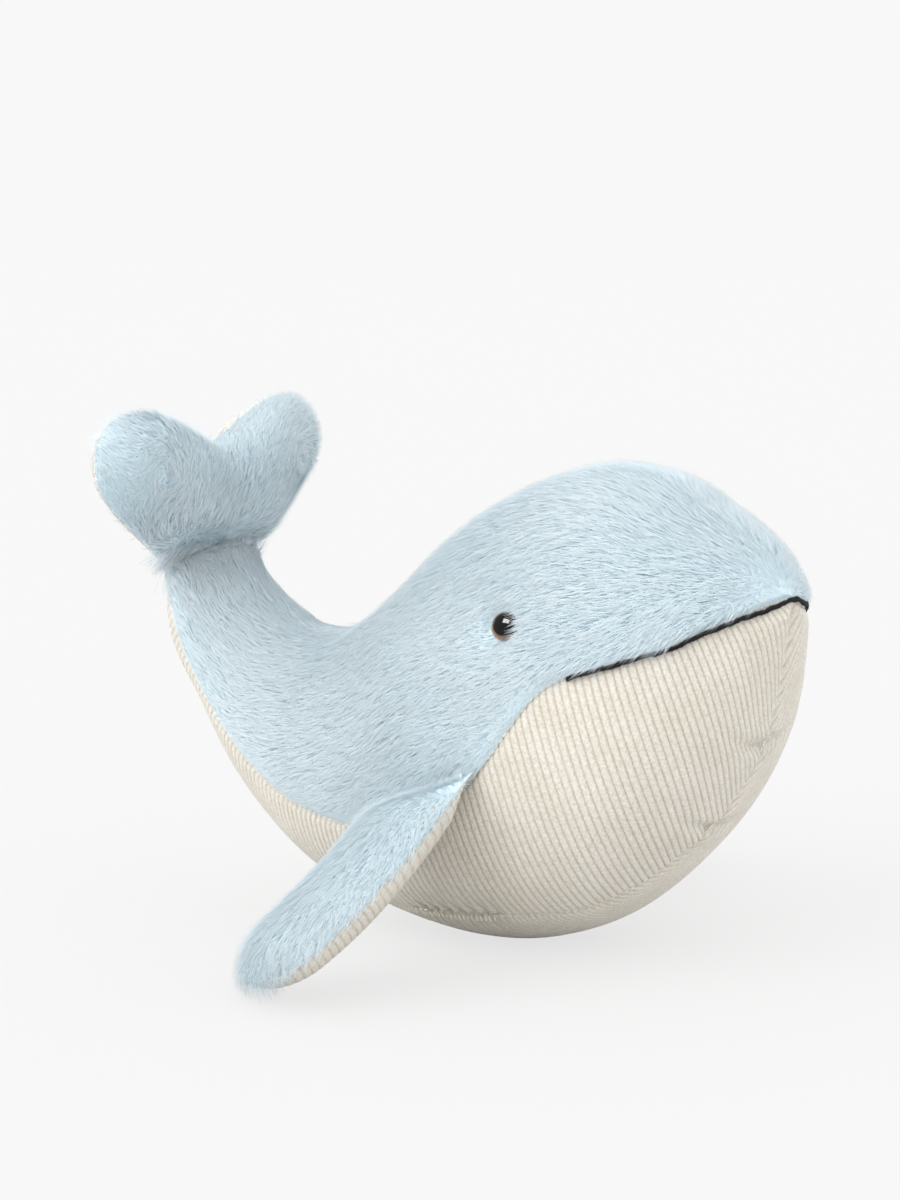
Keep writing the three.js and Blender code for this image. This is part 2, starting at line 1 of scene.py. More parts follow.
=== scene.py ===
"""A plush whale of pale blue faux fur and cream corduroy, lying on its belly with its tail raised.

Metres, +Z up, +X towards the nose, +Y towards the whale's left side. The cloth follows the stations
and shares of the solids, apart from the differences listed below. Turn 0 is the line of the back
and half a turn is the belly line.
"""

import math

import bmesh
import bpy
import numpy as np
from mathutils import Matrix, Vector, noise


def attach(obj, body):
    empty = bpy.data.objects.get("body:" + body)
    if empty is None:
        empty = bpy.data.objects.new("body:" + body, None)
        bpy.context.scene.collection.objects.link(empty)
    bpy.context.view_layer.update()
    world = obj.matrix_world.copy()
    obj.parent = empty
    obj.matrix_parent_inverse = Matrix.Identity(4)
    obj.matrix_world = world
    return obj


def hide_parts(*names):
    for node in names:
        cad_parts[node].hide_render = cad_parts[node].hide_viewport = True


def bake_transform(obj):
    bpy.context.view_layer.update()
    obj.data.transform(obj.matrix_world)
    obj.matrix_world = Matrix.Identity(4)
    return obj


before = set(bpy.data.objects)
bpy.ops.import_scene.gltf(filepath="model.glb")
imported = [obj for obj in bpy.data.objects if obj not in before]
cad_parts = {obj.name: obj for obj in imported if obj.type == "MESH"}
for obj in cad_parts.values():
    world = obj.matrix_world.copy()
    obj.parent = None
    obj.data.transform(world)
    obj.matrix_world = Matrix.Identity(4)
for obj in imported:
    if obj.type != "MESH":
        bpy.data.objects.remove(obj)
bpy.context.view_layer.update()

# Body, over the cloth and under the pile
NOSE_REACH = 0.128
TAIL_REACH = 0.158
BODY_HEIGHT = 0.198
BODY_WIDTH = 0.158
FLAT_DEPTH = 0.0005
SEAM_BEND_SHARE = 0.2
SEAM_BEND_SHARES = (0.17, 0.51, 0.54, 0.82)

# How the soft cloth of the body differs from the solids: the side seam's turn by the nose, the side
# seams' place on the tail, the lean of the tail's end and the fullness of the belly at both ends
MOUTH_DIP = 0.1
MOUTH_RISE = 0.2
TAIL_SEAM_SHIFT = 0.0045
TAIL_LEAN = 0.0022
CHIN_PUFF = 0.0026
TAIL_PUFF = 0.0034
TAIL_END_SHARES = (0.87, 0.09)

# Cloth and filling
CORD_THICKNESS = 0.0016
BACKING_THICKNESS = 0.0012
FILLING_INSET = 0.00255
WALE_PITCH = 0.0032
WALE_DEPTH = 0.0006
WALE_SHARES = (0, 0.1, 0.28, 0.5, 0.72, 0.9)
WALE_ROWS = len(WALE_SHARES)
PATTERN_SIZE = 0.48
MAP_INSET = 0.02

# How the wales of the belly turn over its flat pattern
WALE_SLANT = 0.253
WALE_DRIFT = -1.6
WALE_CURVE = 1.4

# Pile of the fur: hairs this close stand for a real pile, which is several times as dense
UNDERCOAT = 0.002
PILE_PUSH = 0.0026
PILE_LENGTH = 0.0115
STRAND_RADIUS = 0.00013
STRANDS_PER_M2 = 1.6e6
TUFT_SPACING = 0.0045

# Fins, which bow a little more and end a little blunter than the solids
FIN_TIP = (-0.038, 0.143, 0.0055)
FIN_WIDTH = 0.053
FIN_THICKNESS = 0.024
FIN_BOW = 0.0145
FIN_BOW_TURN = 0.92 * math.pi
FIN_ROUND_SHARE = 0.79
FIN_TWIST_SHARE = 0.45
FIN_SWELL_SHARE = 0.2
FIN_ROOT_SHARES = (0.46, 0.57)
FIN_HINGE_LIFT = 0.005
FIN_ROOT_THICKNESS = 0.003
FIN_WEDGE_SLOPE = 0.7
FIN_TAB = 0.0045

# Fluke
FLUKE_SPAN = 0.166
FLUKE_HEIGHT = 0.065
FLUKE_THICKNESS = 0.027
FLUKE_LEAN = 0.0005
FOLD_GAP = 0.0024
FLUKE_ROOT_THICKNESS = 0.0024
FLUKE_WEDGE_SLOPE = 0.9
FLUKE_VALLEY_WIDTH = 0.015
FLUKE_VALLEY_SHARE = 0.35
FLUKE_CENTRE_SHARE = 0.46

# Eyes
EYE_SEGMENTS = 48
EYE_RADIUS = 0.006
EYE_HEIGHT = 0.0048
EYE_RIM = 0.001
EYE_SEAT = 0.0003
SHANK_RADIUS = 0.0021
SHANK_LENGTH = 0.01
RIB_COUNT = 4
RIB_DEPTH = 0.0004
PUPIL_PLACE = (0.61, 0.52, 0)
EYE_ALONG_SHARE = 0.426
EYE_TURN_SHARE = 0.353

# Stitches
MOUTH_END_SHARE = 0.352
CLOSING_SHARES = (0.485, 0.57)
SATIN_PITCH = 0.00042
SATIN_WIDTH = 0.0023
SATIN_RADIUS = 0.0003
SEAM_STITCH = 0.0026
SEAM_PITCH = 0.0031
THREAD_RADIUS = 0.00035
CLOSING_PITCH = 0.0021
CLOSING_STITCH = 0.0046
CLOSING_RADIUS = 0.0004
SEAM_START_SHARE = 0.028

SIDES = {"right": -1, "left": 1}

# Stations from the nose to the fold of the tail, as shares: the back line's place along and up,
# the belly line's place along and up, the half width, the side seam's turn, the lower fullness.
STATION_SHARES = np.array([
    [0, 0.768, 0, 0.768, 0, 0.5, 0],
    [0.024, 0.826, 0.0035, 0.697, 0.228, 0.49, 0.1],
    [0.072, 0.88, 0.0175, 0.562, 0.494, 0.462, 0.2],
    [0.127, 0.93, 0.0525, 0.4, 0.734, 0.455, 0.2],
    [0.193, 0.98, 0.119, 0.243, 0.911, 0.45, 0.2],
    [0.28, 1, 0.227, 0.092, 0.987, 0.458, 0.15],
    [0.378, 0.962, 0.343, 0.017, 1, 0.545, 0.1],
    [0.482, 0.875, 0.4545, 0, 0.962, 0.583, 0.1],
    [0.59, 0.735, 0.5735, 0.026, 0.873, 0.6, 0.1],
    [0.699, 0.622, 0.706, 0.084, 0.747, 0.578, 0.05],
    [0.794, 0.602, 0.815, 0.189, 0.62, 0.578, 0],
    [0.87, 0.647, 0.902, 0.33, 0.52, 0.594, 0],
    [0.923, 0.708, 0.968, 0.516, 0.443, 0.633, 0],
    [0.9615, 0.773, 1, 0.748, 0.392, 0.655, 0],
])

# Half outline of the fluke as shares of its half span and its height, from the fold to the notch.
# Near the fold it is a little narrower than the solids.
LOBE_SHARES = np.array([
    [0.434, 0], [0.608, 0.154], [0.82, 0.354], [0.98, 0.569], [1, 0.785],
    [0.867, 0.954], [0.639, 1], [0.373, 0.908], [0.145, 0.785], [0, 0.738],
])


def linear(code):
    """An sRGB hex colour as linear red, green, blue and alpha."""
    channels = [int(code[k:k + 2], 16) / 255 for k in (1, 3, 5)]
    return (*((c / 12.92 if c <= 0.04045 else ((c + 0.055) / 1.055) ** 2.4) for c in channels), 1)


def add(tree, kind, inputs=(), stops=(), **settings):
    """One node with its settings, links and colour stops. A kind in capitals is an operation of the
    math node. inputs lists values, sockets or nodes in order, or maps them to sockets."""
    is_operation = kind.isupper()
    node = tree.nodes.new("ShaderNodeMath" if is_operation else kind)
    for key, value in {**settings, **({"operation": kind} if is_operation else {})}.items():
        setattr(node, key, value)
    for key, value in (inputs if isinstance(inputs, dict) else dict(enumerate(inputs))).items():
        if isinstance(value, bpy.types.Node):
            value = value.outputs[0]
        if isinstance(value, bpy.types.NodeSocket):
            tree.links.new(value, node.inputs[key])
        else:
            node.inputs[key].default_value = value
    for count, (place, code) in enumerate(stops):
        elements = node.color_ramp.elements
        element = elements[count] if count < len(elements) else elements.new(place)
        element.position = place
        element.color = linear(code)
    return node


def new_material(name):
    """An empty node material."""
    material = bpy.data.materials.new(name)
    material.use_nodes = True
    material.node_tree.nodes.clear()
    return material, material.node_tree


def mapped(tree):
    """The object's own colour map, across and up."""
    place = add(tree, "ShaderNodeUVMap", uv_map="OFBake")
    return add(tree, "ShaderNodeSeparateXYZ", [place]).outputs[:2]


def grain(tree, size, detail, strength, distance, roughness=0.5):
    """An unevenness of a real size over the object: its height, and its relief as a normal."""
    place = add(tree, "ShaderNodeTexCoord").outputs["Object"]
    waves = add(tree, "ShaderNodeTexNoise",
                {"Vector": place, "Scale": 1 / size, "Detail": detail, "Roughness": roughness})
    return waves, add(tree, "ShaderNodeBump", {"Height": waves, "Strength": strength, "Distance": distance})


def faux_fur():
    """Acrylic faux fur: a dense, matt pile, bluer at the roots and paler at the tips. The deeper roots are
    partly the pile's own tint and partly painted shade deep in the pile.
    """
    material, tree = new_material("pale blue acrylic faux fur")
    tone, rise = mapped(tree)
    # Each hair pales from root to tip: partly the pile's own tint, partly painted shade towards the roots
    light = add(tree, "ShaderNodeValToRGB", [rise], [(0, "#d8e9f0"), (0.3, "#e2eff5"), (1, "#ebf4f8")])
    deep = add(tree, "ShaderNodeValToRGB", [rise], [(0, "#c9dfe9"), (0.3, "#d5e6ee"), (1, "#e0edf3")])
    color = add(tree, "ShaderNodeMix", {0: tone, 6: deep, 7: light}, data_type="RGBA").outputs[2]
    fibre = add(tree, "ShaderNodeBsdfPrincipled", {
        "Base Color": color, "Roughness": 0.7, "Sheen Weight": 0.08, "Sheen Roughness": 0.5,
        "Specular IOR Level": 0.2})
    # Fibres as thin as these let part of the light through to the ones behind them
    ray = add(tree, "ShaderNodeLightPath").outputs
    shadowed = add(tree, "MULTIPLY", [ray["Is Shadow Ray"], 0.78])
    passed = add(tree, "MULTIPLY_ADD", [ray["Is Diffuse Ray"], 0.5, shadowed])
    clear = add(tree, "ShaderNodeBsdfTransparent")
    add(tree, "ShaderNodeOutputMaterial", [add(tree, "ShaderNodeMixShader", [passed, fibre, clear])])
    return material


def cotton_corduroy():
    """Cotton corduroy: soft cut-pile wales with beige grooves, darkened partly by painted shade, and a
    short mottled nap.
    """
    material, tree = new_material("cream cotton corduroy")
    count = add(tree, "MULTIPLY", [mapped(tree)[0], PATTERN_SIZE / WALE_PITCH])
    phase = add(tree, "PINGPONG", [count, 0.5])
    # Darker and beiger in the grooves: partly the bare ground weave's own colour, partly painted shade in
    # the grooves
    wale = add(tree, "ShaderNodeValToRGB", [phase],
               [(0, "#c9bcac"), (0.08, "#d3cbc0"), (0.2, "#d9d5cc"), (0.5, "#dcd9d2")])
    # Wear over 20 mm patches lightens the cloth a little
    place = add(tree, "ShaderNodeTexCoord").outputs["Object"]
    worn = add(tree, "ShaderNodeTexNoise", {"Vector": place, "Scale": 1 / 0.02, "Detail": 2.0})
    tint = add(tree, "ShaderNodeValToRGB", [worn], [(0.3, "#f8f7f4"), (0.7, "#ffffff")])
    # The nap is drawn 1.1 mm coarse, since the real fibres are too fine to show
    nap, relief = grain(tree, 0.0011, 3.0, 0.8, 0.0005, 0.7)
    soft = add(tree, "ShaderNodeValToRGB", [nap], [(0.3, "#d9d6cf"), (0.62, "#ffffff")])
    blend = {"data_type": "RGBA", "blend_type": "MULTIPLY"}
    first = add(tree, "ShaderNodeMix", {0: 1.0, 6: wale, 7: tint}, **blend).outputs[2]
    color = add(tree, "ShaderNodeMix", {0: 0.8, 6: first, 7: soft}, **blend).outputs[2]
    add(tree, "ShaderNodeOutputMaterial", [add(tree, "ShaderNodeBsdfPrincipled", {
        "Base Color": color, "Normal": relief, "Roughness": 0.92, "Sheen Weight": 0.2,
        "Sheen Roughness": 0.6, "Specular IOR Level": 0.2})])
    return material


def spun_thread(name, dark, pale, roughness):
    """Spun thread: fine twisted plies that catch a little light along each stitch."""
    material, tree = new_material(name)
    color = add(tree, "ShaderNodeValToRGB", [mapped(tree)[0]], [(0, dark), (1, pale)])
    _, relief = grain(tree, 0.0006, 2.0, 0.4, 0.0002)
    add(tree, "ShaderNodeOutputMaterial", [add(tree, "ShaderNodeBsdfPrincipled", {
        "Base Color": color, "Normal": relief, "Roughness": roughness, "Sheen Weight": 0.1})])
    return material


def polyester_fibre():
    """Polyester filling: loose white fibre in soft lumps."""
    material, tree = new_material("white polyester filling")
    lump, relief = grain(tree, 0.006, 6.0, 0.7, 0.001, 0.7)
    # The colour darkens where the lumps sink: painted shade in the hollows between them
    color = add(tree, "ShaderNodeValToRGB", [lump], [(0.25, "#dfdedb"), (0.75, "#f8f7f4")])
    add(tree, "ShaderNodeOutputMaterial", [add(tree, "ShaderNodeBsdfPrincipled", {
        "Base Color": color, "Normal": relief, "Roughness": 0.95, "Sheen Weight": 0.3})])
    return material


def eye_resin():
    """Moulded acrylic eye: black pupil, a narrow amber rim and a deep polish."""
    material, tree = new_material("dark amber acrylic eye")
    place = add(tree, "ShaderNodeUVMap", uv_map="OFBake")
    # The pupil is set a little forward and up, which leaves a crescent of the rim behind it
    away = add(tree, "ShaderNodeVectorMath", [place, PUPIL_PLACE], operation="DISTANCE").outputs["Value"]
    color = add(tree, "ShaderNodeValToRGB", [away], [
        (0, "#040404"), (0.36, "#060505"), (0.38, "#33261c"), (0.41, "#735a45"), (0.53, "#8c735c")])
    add(tree, "ShaderNodeOutputMaterial", [add(tree, "ShaderNodeBsdfPrincipled", {
        "Base Color": color, "Roughness": 0.06, "Coat Weight": 1.0, "Coat Roughness": 0.02})])
    return material


def moulded_plastic():
    """Injection-moulded polypropylene: plain white with a faint satin grain."""
    material, tree = new_material("white moulded polypropylene")
    fine, relief = grain(tree, 0.0008, 2.0, 0.2, 0.0001)
    color = add(tree, "ShaderNodeValToRGB", [fine], [(0.3, "#e8e8e6"), (0.7, "#f4f4f2")])
    add(tree, "ShaderNodeOutputMaterial", [add(tree, "ShaderNodeBsdfPrincipled", {
        "Base Color": color, "Normal": relief, "Roughness": 0.45})])
    return material


FUR = faux_fur()
CORDUROY = cotton_corduroy()
PALE_THREAD = spun_thread("cream spun polyester thread", "#d9d2c2", "#f1ede3", 0.75)
MOUTH_THREAD = spun_thread("black rayon embroidery thread", "#040406", "#131318", 0.45)
FILLING = polyester_fibre()
EYE_PLASTIC = eye_resin()
WASHER_PLASTIC = moulded_plastic()


def smooth(value):
    """A soft step from 0 to 1 as the value goes from 0 to 1."""
    v = np.clip(value, 0, 1)
    return v * v * (3 - 2 * v)


def at_tail_end(t):
    """From 0 to 1 as the tail nears its fold."""
    first, length = TAIL_END_SHARES
    return smooth((t - first) / length)


def catmull(rows, t, before):
    """Smooth rows of numbers at places t from 0 to 1; t may be an array."""
    table = np.vstack([before, rows, 2 * rows[-1] - rows[-2]])
    place = np.clip(t, 0, 1) * (len(rows) - 1)
    i = np.minimum(place.astype(int), len(rows) - 2)
    f = (place - i)[..., None]
    a, b, c, d = (table[i + k] for k in range(4))
    slope, next_slope, rise = (c - a) / 2, (d - b) / 2, c - b
    square = 3 * rise - 2 * slope - next_slope
    cubic = slope + next_slope - 2 * rise
    return b + f * (slope + f * (square + f * cubic))


def section(t):
    """The body's section at stations t: middle, half rise towards the back, half width, side seam's
    turn and lower fullness."""
    t = np.asarray(t, float)
    first = STATION_SHARES[1]
    before = np.array([first[2], first[3], first[0], first[1], -first[4], first[5], first[6]])
    shares = catmull(STATION_SHARES, t, before)
    length = NOSE_REACH + TAIL_REACH
    height = BODY_HEIGHT + FLAT_DEPTH
    zero = np.zeros_like(t)
    back = np.stack([NOSE_REACH - shares[..., 0] * length, zero, shares[..., 1] * height - FLAT_DEPTH], -1)
    belly = np.stack([NOSE_REACH - shares[..., 2] * length, zero, shares[..., 3] * height - FLAT_DEPTH], -1)
    half = shares[..., 4] * BODY_WIDTH / 2
    return (back + belly) / 2, (back - belly) / 2, half, shares[..., 5] * math.pi, shares[..., 6]


def cloth_point(t, turn):
    """Points of the cloth at stations t and at turns from the back."""
    centre, rise, half, _, full = section(t)
    cosine = np.cos(turn)
    fullness = np.where(cosine < 0, 1 + full * cosine ** 2, 1)
    point = centre + rise * cosine[..., None]
    point[..., 1] = half * np.sin(turn) * fullness
    point[..., 0] -= TAIL_LEAN * (1 - 0.7 * cosine) * at_tail_end(t)
    return point


def unit(vectors):
    """The vectors at length one."""
    return vectors / np.maximum(np.linalg.norm(vectors, axis=-1, keepdims=True), 1e-12)


def cloth_normal(t, turn):
    """The way off the cloth."""
    step = 0.002
    along = cloth_point(np.minimum(t + step, 1), turn) - cloth_point(np.maximum(t - step, 0), turn)
    around = cloth_point(t, turn + step) - cloth_point(t, turn - step)
    return unit(np.cross(around, along))


def body_point(t, turn, offset):
    """Points at an offset from the cloth; the offset may be an array."""
    offset = np.broadcast_to(offset, np.shape(t))
    return cloth_point(t, turn) + cloth_normal(t, turn) * offset[..., None]


def girth_rate(t, turn):
    """Metres over the cloth for each radian of turn."""
    step = 0.01
    return np.linalg.norm(cloth_point(t, turn + step) - cloth_point(t, turn - step), axis=-1) / (2 * step)


def side_seam(t, side=-1):
    """The side seam's turn. By the nose it dips on the left and rises on the right, and on the tail
    it lies nearer the back."""
    half, turn = section(t)[2:4]
    if side > 0:
        by_chin = 1 + 2 * smooth((0.12 - t) / 0.08)
        bend = MOUTH_DIP * smooth(t / 0.02) * smooth((0.34 - t) / 0.12) * by_chin
    else:
        bend = -MOUTH_RISE * np.exp(-((t - 0.02) / 0.014) ** 2)
    least_half = 0.01
    return turn + bend - TAIL_SEAM_SHIFT / np.maximum(half, least_half) * smooth((t - 0.6) / 0.2)


def belly_seam(t):
    """The belly seam's turn: half a turn, and more where the seam bends to the right."""
    start, full, ease, end = SEAM_BEND_SHARES
    bend = smooth((t - start) / (full - start)) * smooth((end - t) / (end - ease))
    return math.pi * (1 + SEAM_BEND_SHARE * bend)


def belly_turn(t, side):
    """The belly seam's turn as seen from one side."""
    return belly_seam(t) if side > 0 else 2 * math.pi - belly_seam(t)


def grid_faces(rows, columns, start=0):
    """Quads of a grid of points that are numbered row by row."""
    i, j = np.meshgrid(np.arange(rows - 1), np.arange(columns - 1), indexing="ij")
    a = start + i * columns + j
    return np.stack([a, a + columns, a + columns + 1, a + 1], -1).reshape(-1, 4)


def shell_faces(rows, columns, step):
    """Faces of a closed shell: an outer grid, an inner grid with every step-th row, and the rims
    between them."""
    inner_rows = (rows - 1) // step + 1
    start = rows * columns
    outer = grid_faces(rows, columns)
    inner = grid_faces(inner_rows, columns, start)[:, ::-1]
    faces = [*outer.tolist(), *inner.tolist()]
    for j in range(columns - 1):
        last, inner_last = (rows - 1) * columns + j, start + (inner_rows - 1) * columns + j
        faces.append([j, j + 1, start + j + 1, start + j])
        faces.append([last + 1, last, inner_last, inner_last + 1])
    for column, turned in ((0, False), (columns - 1, True)):
        for k in range(inner_rows - 1):
            low = start + k * columns + column
            ring = [(k * step + m) * columns + column for m in range(step + 1)]
            face = [low, *ring, low + columns]
            faces.append(face[::-1] if turned else face)
    return faces


def make_object(name, points, faces, uv=None, material=None):
    """A mesh object at the origin: doubles merged, faces outwards, shaded smooth. uv holds one
    place per point."""
    closest = 2e-6
    mesh = bpy.data.meshes.new(name)
    mesh.from_pydata(np.asarray(points).reshape(-1, 3).tolist(), [], faces)
    if uv is not None:
        layer = mesh.uv_layers.new(name="OFBake")
        corners = np.zeros(len(mesh.loops), int)
        mesh.loops.foreach_get("vertex_index", corners)
        layer.data.foreach_set("uv", np.asarray(uv, float).reshape(-1, 2)[corners].ravel())
    work = bmesh.new()
    work.from_mesh(mesh)
    bmesh.ops.remove_doubles(work, verts=work.verts, dist=closest)
    bmesh.ops.dissolve_degenerate(work, edges=work.edges, dist=closest)
    bmesh.ops.recalc_face_normals(work, faces=work.faces)
    work.to_mesh(mesh)
    work.free()
    mesh.shade_smooth()
    if material:
        mesh.materials.append(material)
    obj = bpy.data.objects.new(name, mesh)
    bpy.context.collection.objects.link(obj)
    return obj


def make_shell(name, outer, inner, step=1, uv=None, material=None):
    """A closed shell between an outer grid of points and an inner one with every step-th row."""
    points = [*outer.reshape(-1, 3), *inner.reshape(-1, 3)]
    return make_object(name, points, shell_faces(*outer.shape[:2], step), uv, material)


def corduroy_map(across, along):
    """Places on the colour map for a shell of corduroy: its outside, and its inside half a map up."""
    flat = np.stack(np.broadcast_arrays(across, along), -1) / PATTERN_SIZE
    return np.vstack([flat.reshape(-1, 2), flat[::WALE_ROWS].reshape(-1, 2) + [0, 0.5]])


def body_grid(rows, columns, crowding):
    """Stations, and shares from 0 to 1 across a panel. Crowding above 1 brings rows to the nose."""
    least = 0.0008
    t = np.clip(np.linspace(0, 1, rows)[:, None] ** crowding, least, 1) * np.ones((1, columns))
    return t, np.linspace(0, 1, columns)[None, :] * np.ones((rows, 1))


def point_attributes(mesh, **values):
    """Named values on a mesh's points, read by the pile's node tree."""
    for name, value in values.items():
        value = np.asarray(value, float)
        kind = "FLOAT" if value.ndim == 1 else "FLOAT_VECTOR"
        attribute = mesh.attributes.new(name, kind, "POINT")
        attribute.data.foreach_set("value" if kind == "FLOAT" else "vector", value.ravel())


def keep_evaluated_mesh(obj):
    """Gives the object the mesh that its node tree makes, and takes the modifier away."""
    depsgraph = bpy.context.evaluated_depsgraph_get()
    mesh = bpy.data.meshes.new_from_object(
        obj.evaluated_get(depsgraph), preserve_all_data_layers=True, depsgraph=depsgraph)
    obj.modifiers.clear()
    obj.data = mesh
    for name in ("comb", "cover", "pile", "tone", "rise", "out", "id"):
        attribute = mesh.attributes.get(name)
        if attribute:
            mesh.attributes.remove(attribute)


def tree_with(name, sockets):
    """A geometry node tree with named inputs, its input node and its output node."""
    tree = bpy.data.node_groups.new(name, "GeometryNodeTree")
    tree.interface.new_socket("Geometry", in_out="INPUT", socket_type="NodeSocketGeometry")
    for label, kind in sockets:
        tree.interface.new_socket(label, in_out="INPUT", socket_type=f"NodeSocket{kind}")
    tree.interface.new_socket("Geometry", in_out="OUTPUT", socket_type="NodeSocketGeometry")
    return tree, add(tree, "NodeGroupInput").outputs, add(tree, "NodeGroupOutput")


def run_tree(obj, tree, values):
    """Runs a node tree on an object with inputs set by name, and keeps the plain mesh."""
    modifier = obj.modifiers.new(tree.name, "NODES")
    modifier.node_group = tree
    for item in tree.interface.items_tree:
        if item.in_out == "INPUT" and item.name in values:
            modifier[item.identifier] = values[item.name]
    keep_evaluated_mesh(obj)


def strand(tree, radius):
    """One strand of pile, one unit long: three sides, a closed root and a point, leaning over as it
    rises. Its own height is stored as rise."""
    cone = add(tree, "GeometryNodeMeshCone", {
        "Vertices": 3, "Side Segments": 2, "Radius Top": 0.0, "Radius Bottom": radius, "Depth": 1.0},
        fill_type="NGON")
    x, y, z = add(tree, "ShaderNodeSeparateXYZ", [add(tree, "GeometryNodeInputPosition")]).outputs
    marked = add(tree, "GeometryNodeStoreNamedAttribute", {"Geometry": cone, "Name": "rise", "Value": z},
                 data_type="FLOAT", domain="POINT")
    squared = add(tree, "MULTIPLY", [z, z])
    forward = add(tree, "MULTIPLY_ADD", [squared, 0.42, add(tree, "MULTIPLY", [z, 0.46])])
    upward = add(tree, "MULTIPLY_ADD", [squared, -0.12, add(tree, "MULTIPLY", [z, 0.40])])
    # Fuller halfway up, so that the tip doesn't thin away too soon
    swell = add(tree, "MULTIPLY_ADD", [add(tree, "SUBTRACT", [z, squared]), 3.4, 1.0])
    wide, deep = add(tree, "MULTIPLY", [x, swell]), add(tree, "MULTIPLY_ADD", [y, swell, forward])
    bent = add(tree, "ShaderNodeCombineXYZ", [wide, deep, upward])
    moved = add(tree, "GeometryNodeSetPosition", {"Geometry": marked, "Position": bent})
    return add(tree, "GeometryNodeSetShadeSmooth", {"Geometry": moved})


def pile_tree():
    """Combed pile over a skin. The skin's points carry comb, a direction; cover, from 0 to 1; pile,
    a share of the length; and tone. Strands gather in tufts, and swirls turn them aside."""
    tree, given, output = tree_with("Combed pile", [
        ("Density", "Float"), ("Length", "Float"), ("Radius", "Float"), ("Tuft density", "Float"),
        ("Tuft pull", "Float"), ("Swirl", "Float"), ("Swirl size", "Float"), ("Seed", "Int"),
        ("Material", "Material")])
    skin = given["Geometry"]
    kinds = {"comb": "FLOAT_VECTOR", "cover": "FLOAT", "pile": "FLOAT", "tone": "FLOAT"}
    named = {name: add(tree, "GeometryNodeInputNamedAttribute", {"Name": name}, data_type=kind).outputs[0]
             for name, kind in kinds.items()}
    here = add(tree, "GeometryNodeInputPosition").outputs[0]
    scatter = add(tree, "GeometryNodeDistributePointsOnFaces", {
        "Mesh": skin, "Density": add(tree, "MULTIPLY", [given["Density"], named["cover"]]),
        "Seed": given["Seed"]}, distribute_method="RANDOM").outputs
    tufts = add(tree, "GeometryNodeDistributePointsOnFaces", {
        "Mesh": skin, "Density": given["Tuft density"], "Seed": add(tree, "ADD", [given["Seed"], 1])},
        distribute_method="RANDOM")
    nearest = add(tree, "GeometryNodeSampleNearest", {"Geometry": tufts, "Sample Position": here})
    chances = [add(tree, "FunctionNodeRandomValue", {2: low, 3: high, "Seed": seed},
                   data_type="FLOAT").outputs[1]
               for low, high, seed in ((-0.5, 0.5, 7), (-0.5, 0.5, 11), (0.72, 1.12, 13))]
    of_tuft, strand_chance, length_chance = chances
    tuft_place, tuft_chance = (
        add(tree, "GeometryNodeSampleIndex", {"Geometry": tufts, "Value": value, "Index": nearest},
            data_type=kind).outputs[0]
        for value, kind in ((here, "FLOAT_VECTOR"), (of_tuft, "FLOAT")))
    waves = add(tree, "ShaderNodeTexNoise", {
        "Vector": here, "Scale": add(tree, "DIVIDE", [1.0, given["Swirl size"]]), "Detail": 2.5}).outputs
    swirl = add(tree, "MULTIPLY", [add(tree, "SUBTRACT", [waves[0], 0.5]), given["Swirl"]])
    # Another channel of the same noise makes the strands lie lower in some places
    second = add(tree, "SUBTRACT", [add(tree, "ShaderNodeSeparateXYZ", [waves[1]]).outputs[1], 0.5])
    rise_share = add(tree, "MULTIPLY_ADD", [second, 1.3, 1.0])
    turned_tuft = add(tree, "MULTIPLY_ADD", [tuft_chance, 0.4, swirl])
    turn = add(tree, "MULTIPLY_ADD", [strand_chance, 0.55, turned_tuft])
    combed = add(tree, "ShaderNodeVectorRotate", {
        "Vector": named["comb"], "Axis": scatter["Normal"], "Angle": turn}, rotation_type="AXIS_ANGLE")
    towards = add(tree, "ShaderNodeVectorMath", [tuft_place, here], operation="SUBTRACT")
    pull = add(tree, "DIVIDE", [given["Tuft pull"], given["Length"]])
    pulled = add(tree, "ShaderNodeVectorMath", {0: towards, "Scale": pull}, operation="SCALE")
    lean = add(tree, "ShaderNodeVectorMath", [combed, pulled], operation="ADD")
    rotation = add(tree, "FunctionNodeAxesToRotation", [scatter["Normal"], lean],
                   primary_axis="Z", secondary_axis="Y")
    full = add(tree, "MULTIPLY", [given["Length"], named["pile"]])
    length = add(tree, "MULTIPLY", [full, length_chance])
    height = add(tree, "MULTIPLY", [length, add(tree, "MULTIPLY_ADD", [tuft_chance, 0.16, rise_share])])
    stretch = add(tree, "ShaderNodeVectorMath", [lean], operation="LENGTH").outputs["Value"]
    scale = add(tree, "ShaderNodeCombineXYZ", [length, add(tree, "MULTIPLY", [length, stretch]), height])
    planted = add(tree, "GeometryNodeInstanceOnPoints", {
        "Points": scatter["Points"], "Rotation": rotation, "Scale": scale,
        "Instance": strand(tree, add(tree, "DIVIDE", [given["Radius"], given["Length"]]))})
    shade = add(tree, "MULTIPLY_ADD", [
        strand_chance, 0.5, add(tree, "MULTIPLY_ADD", [tuft_chance, 0.5, named["tone"]])])
    toned = add(tree, "GeometryNodeStoreNamedAttribute", {
        "Geometry": planted, "Name": "tone", "Value": add(tree, "ShaderNodeClamp", [shade, 0.02, 0.98])},
        data_type="FLOAT", domain="INSTANCE")
    strands = add(tree, "GeometryNodeRealizeInstances", {"Geometry": toned})
    rise = add(tree, "GeometryNodeInputNamedAttribute", {"Name": "rise"}, data_type="FLOAT")
    joined = add(tree, "GeometryNodeJoinGeometry")
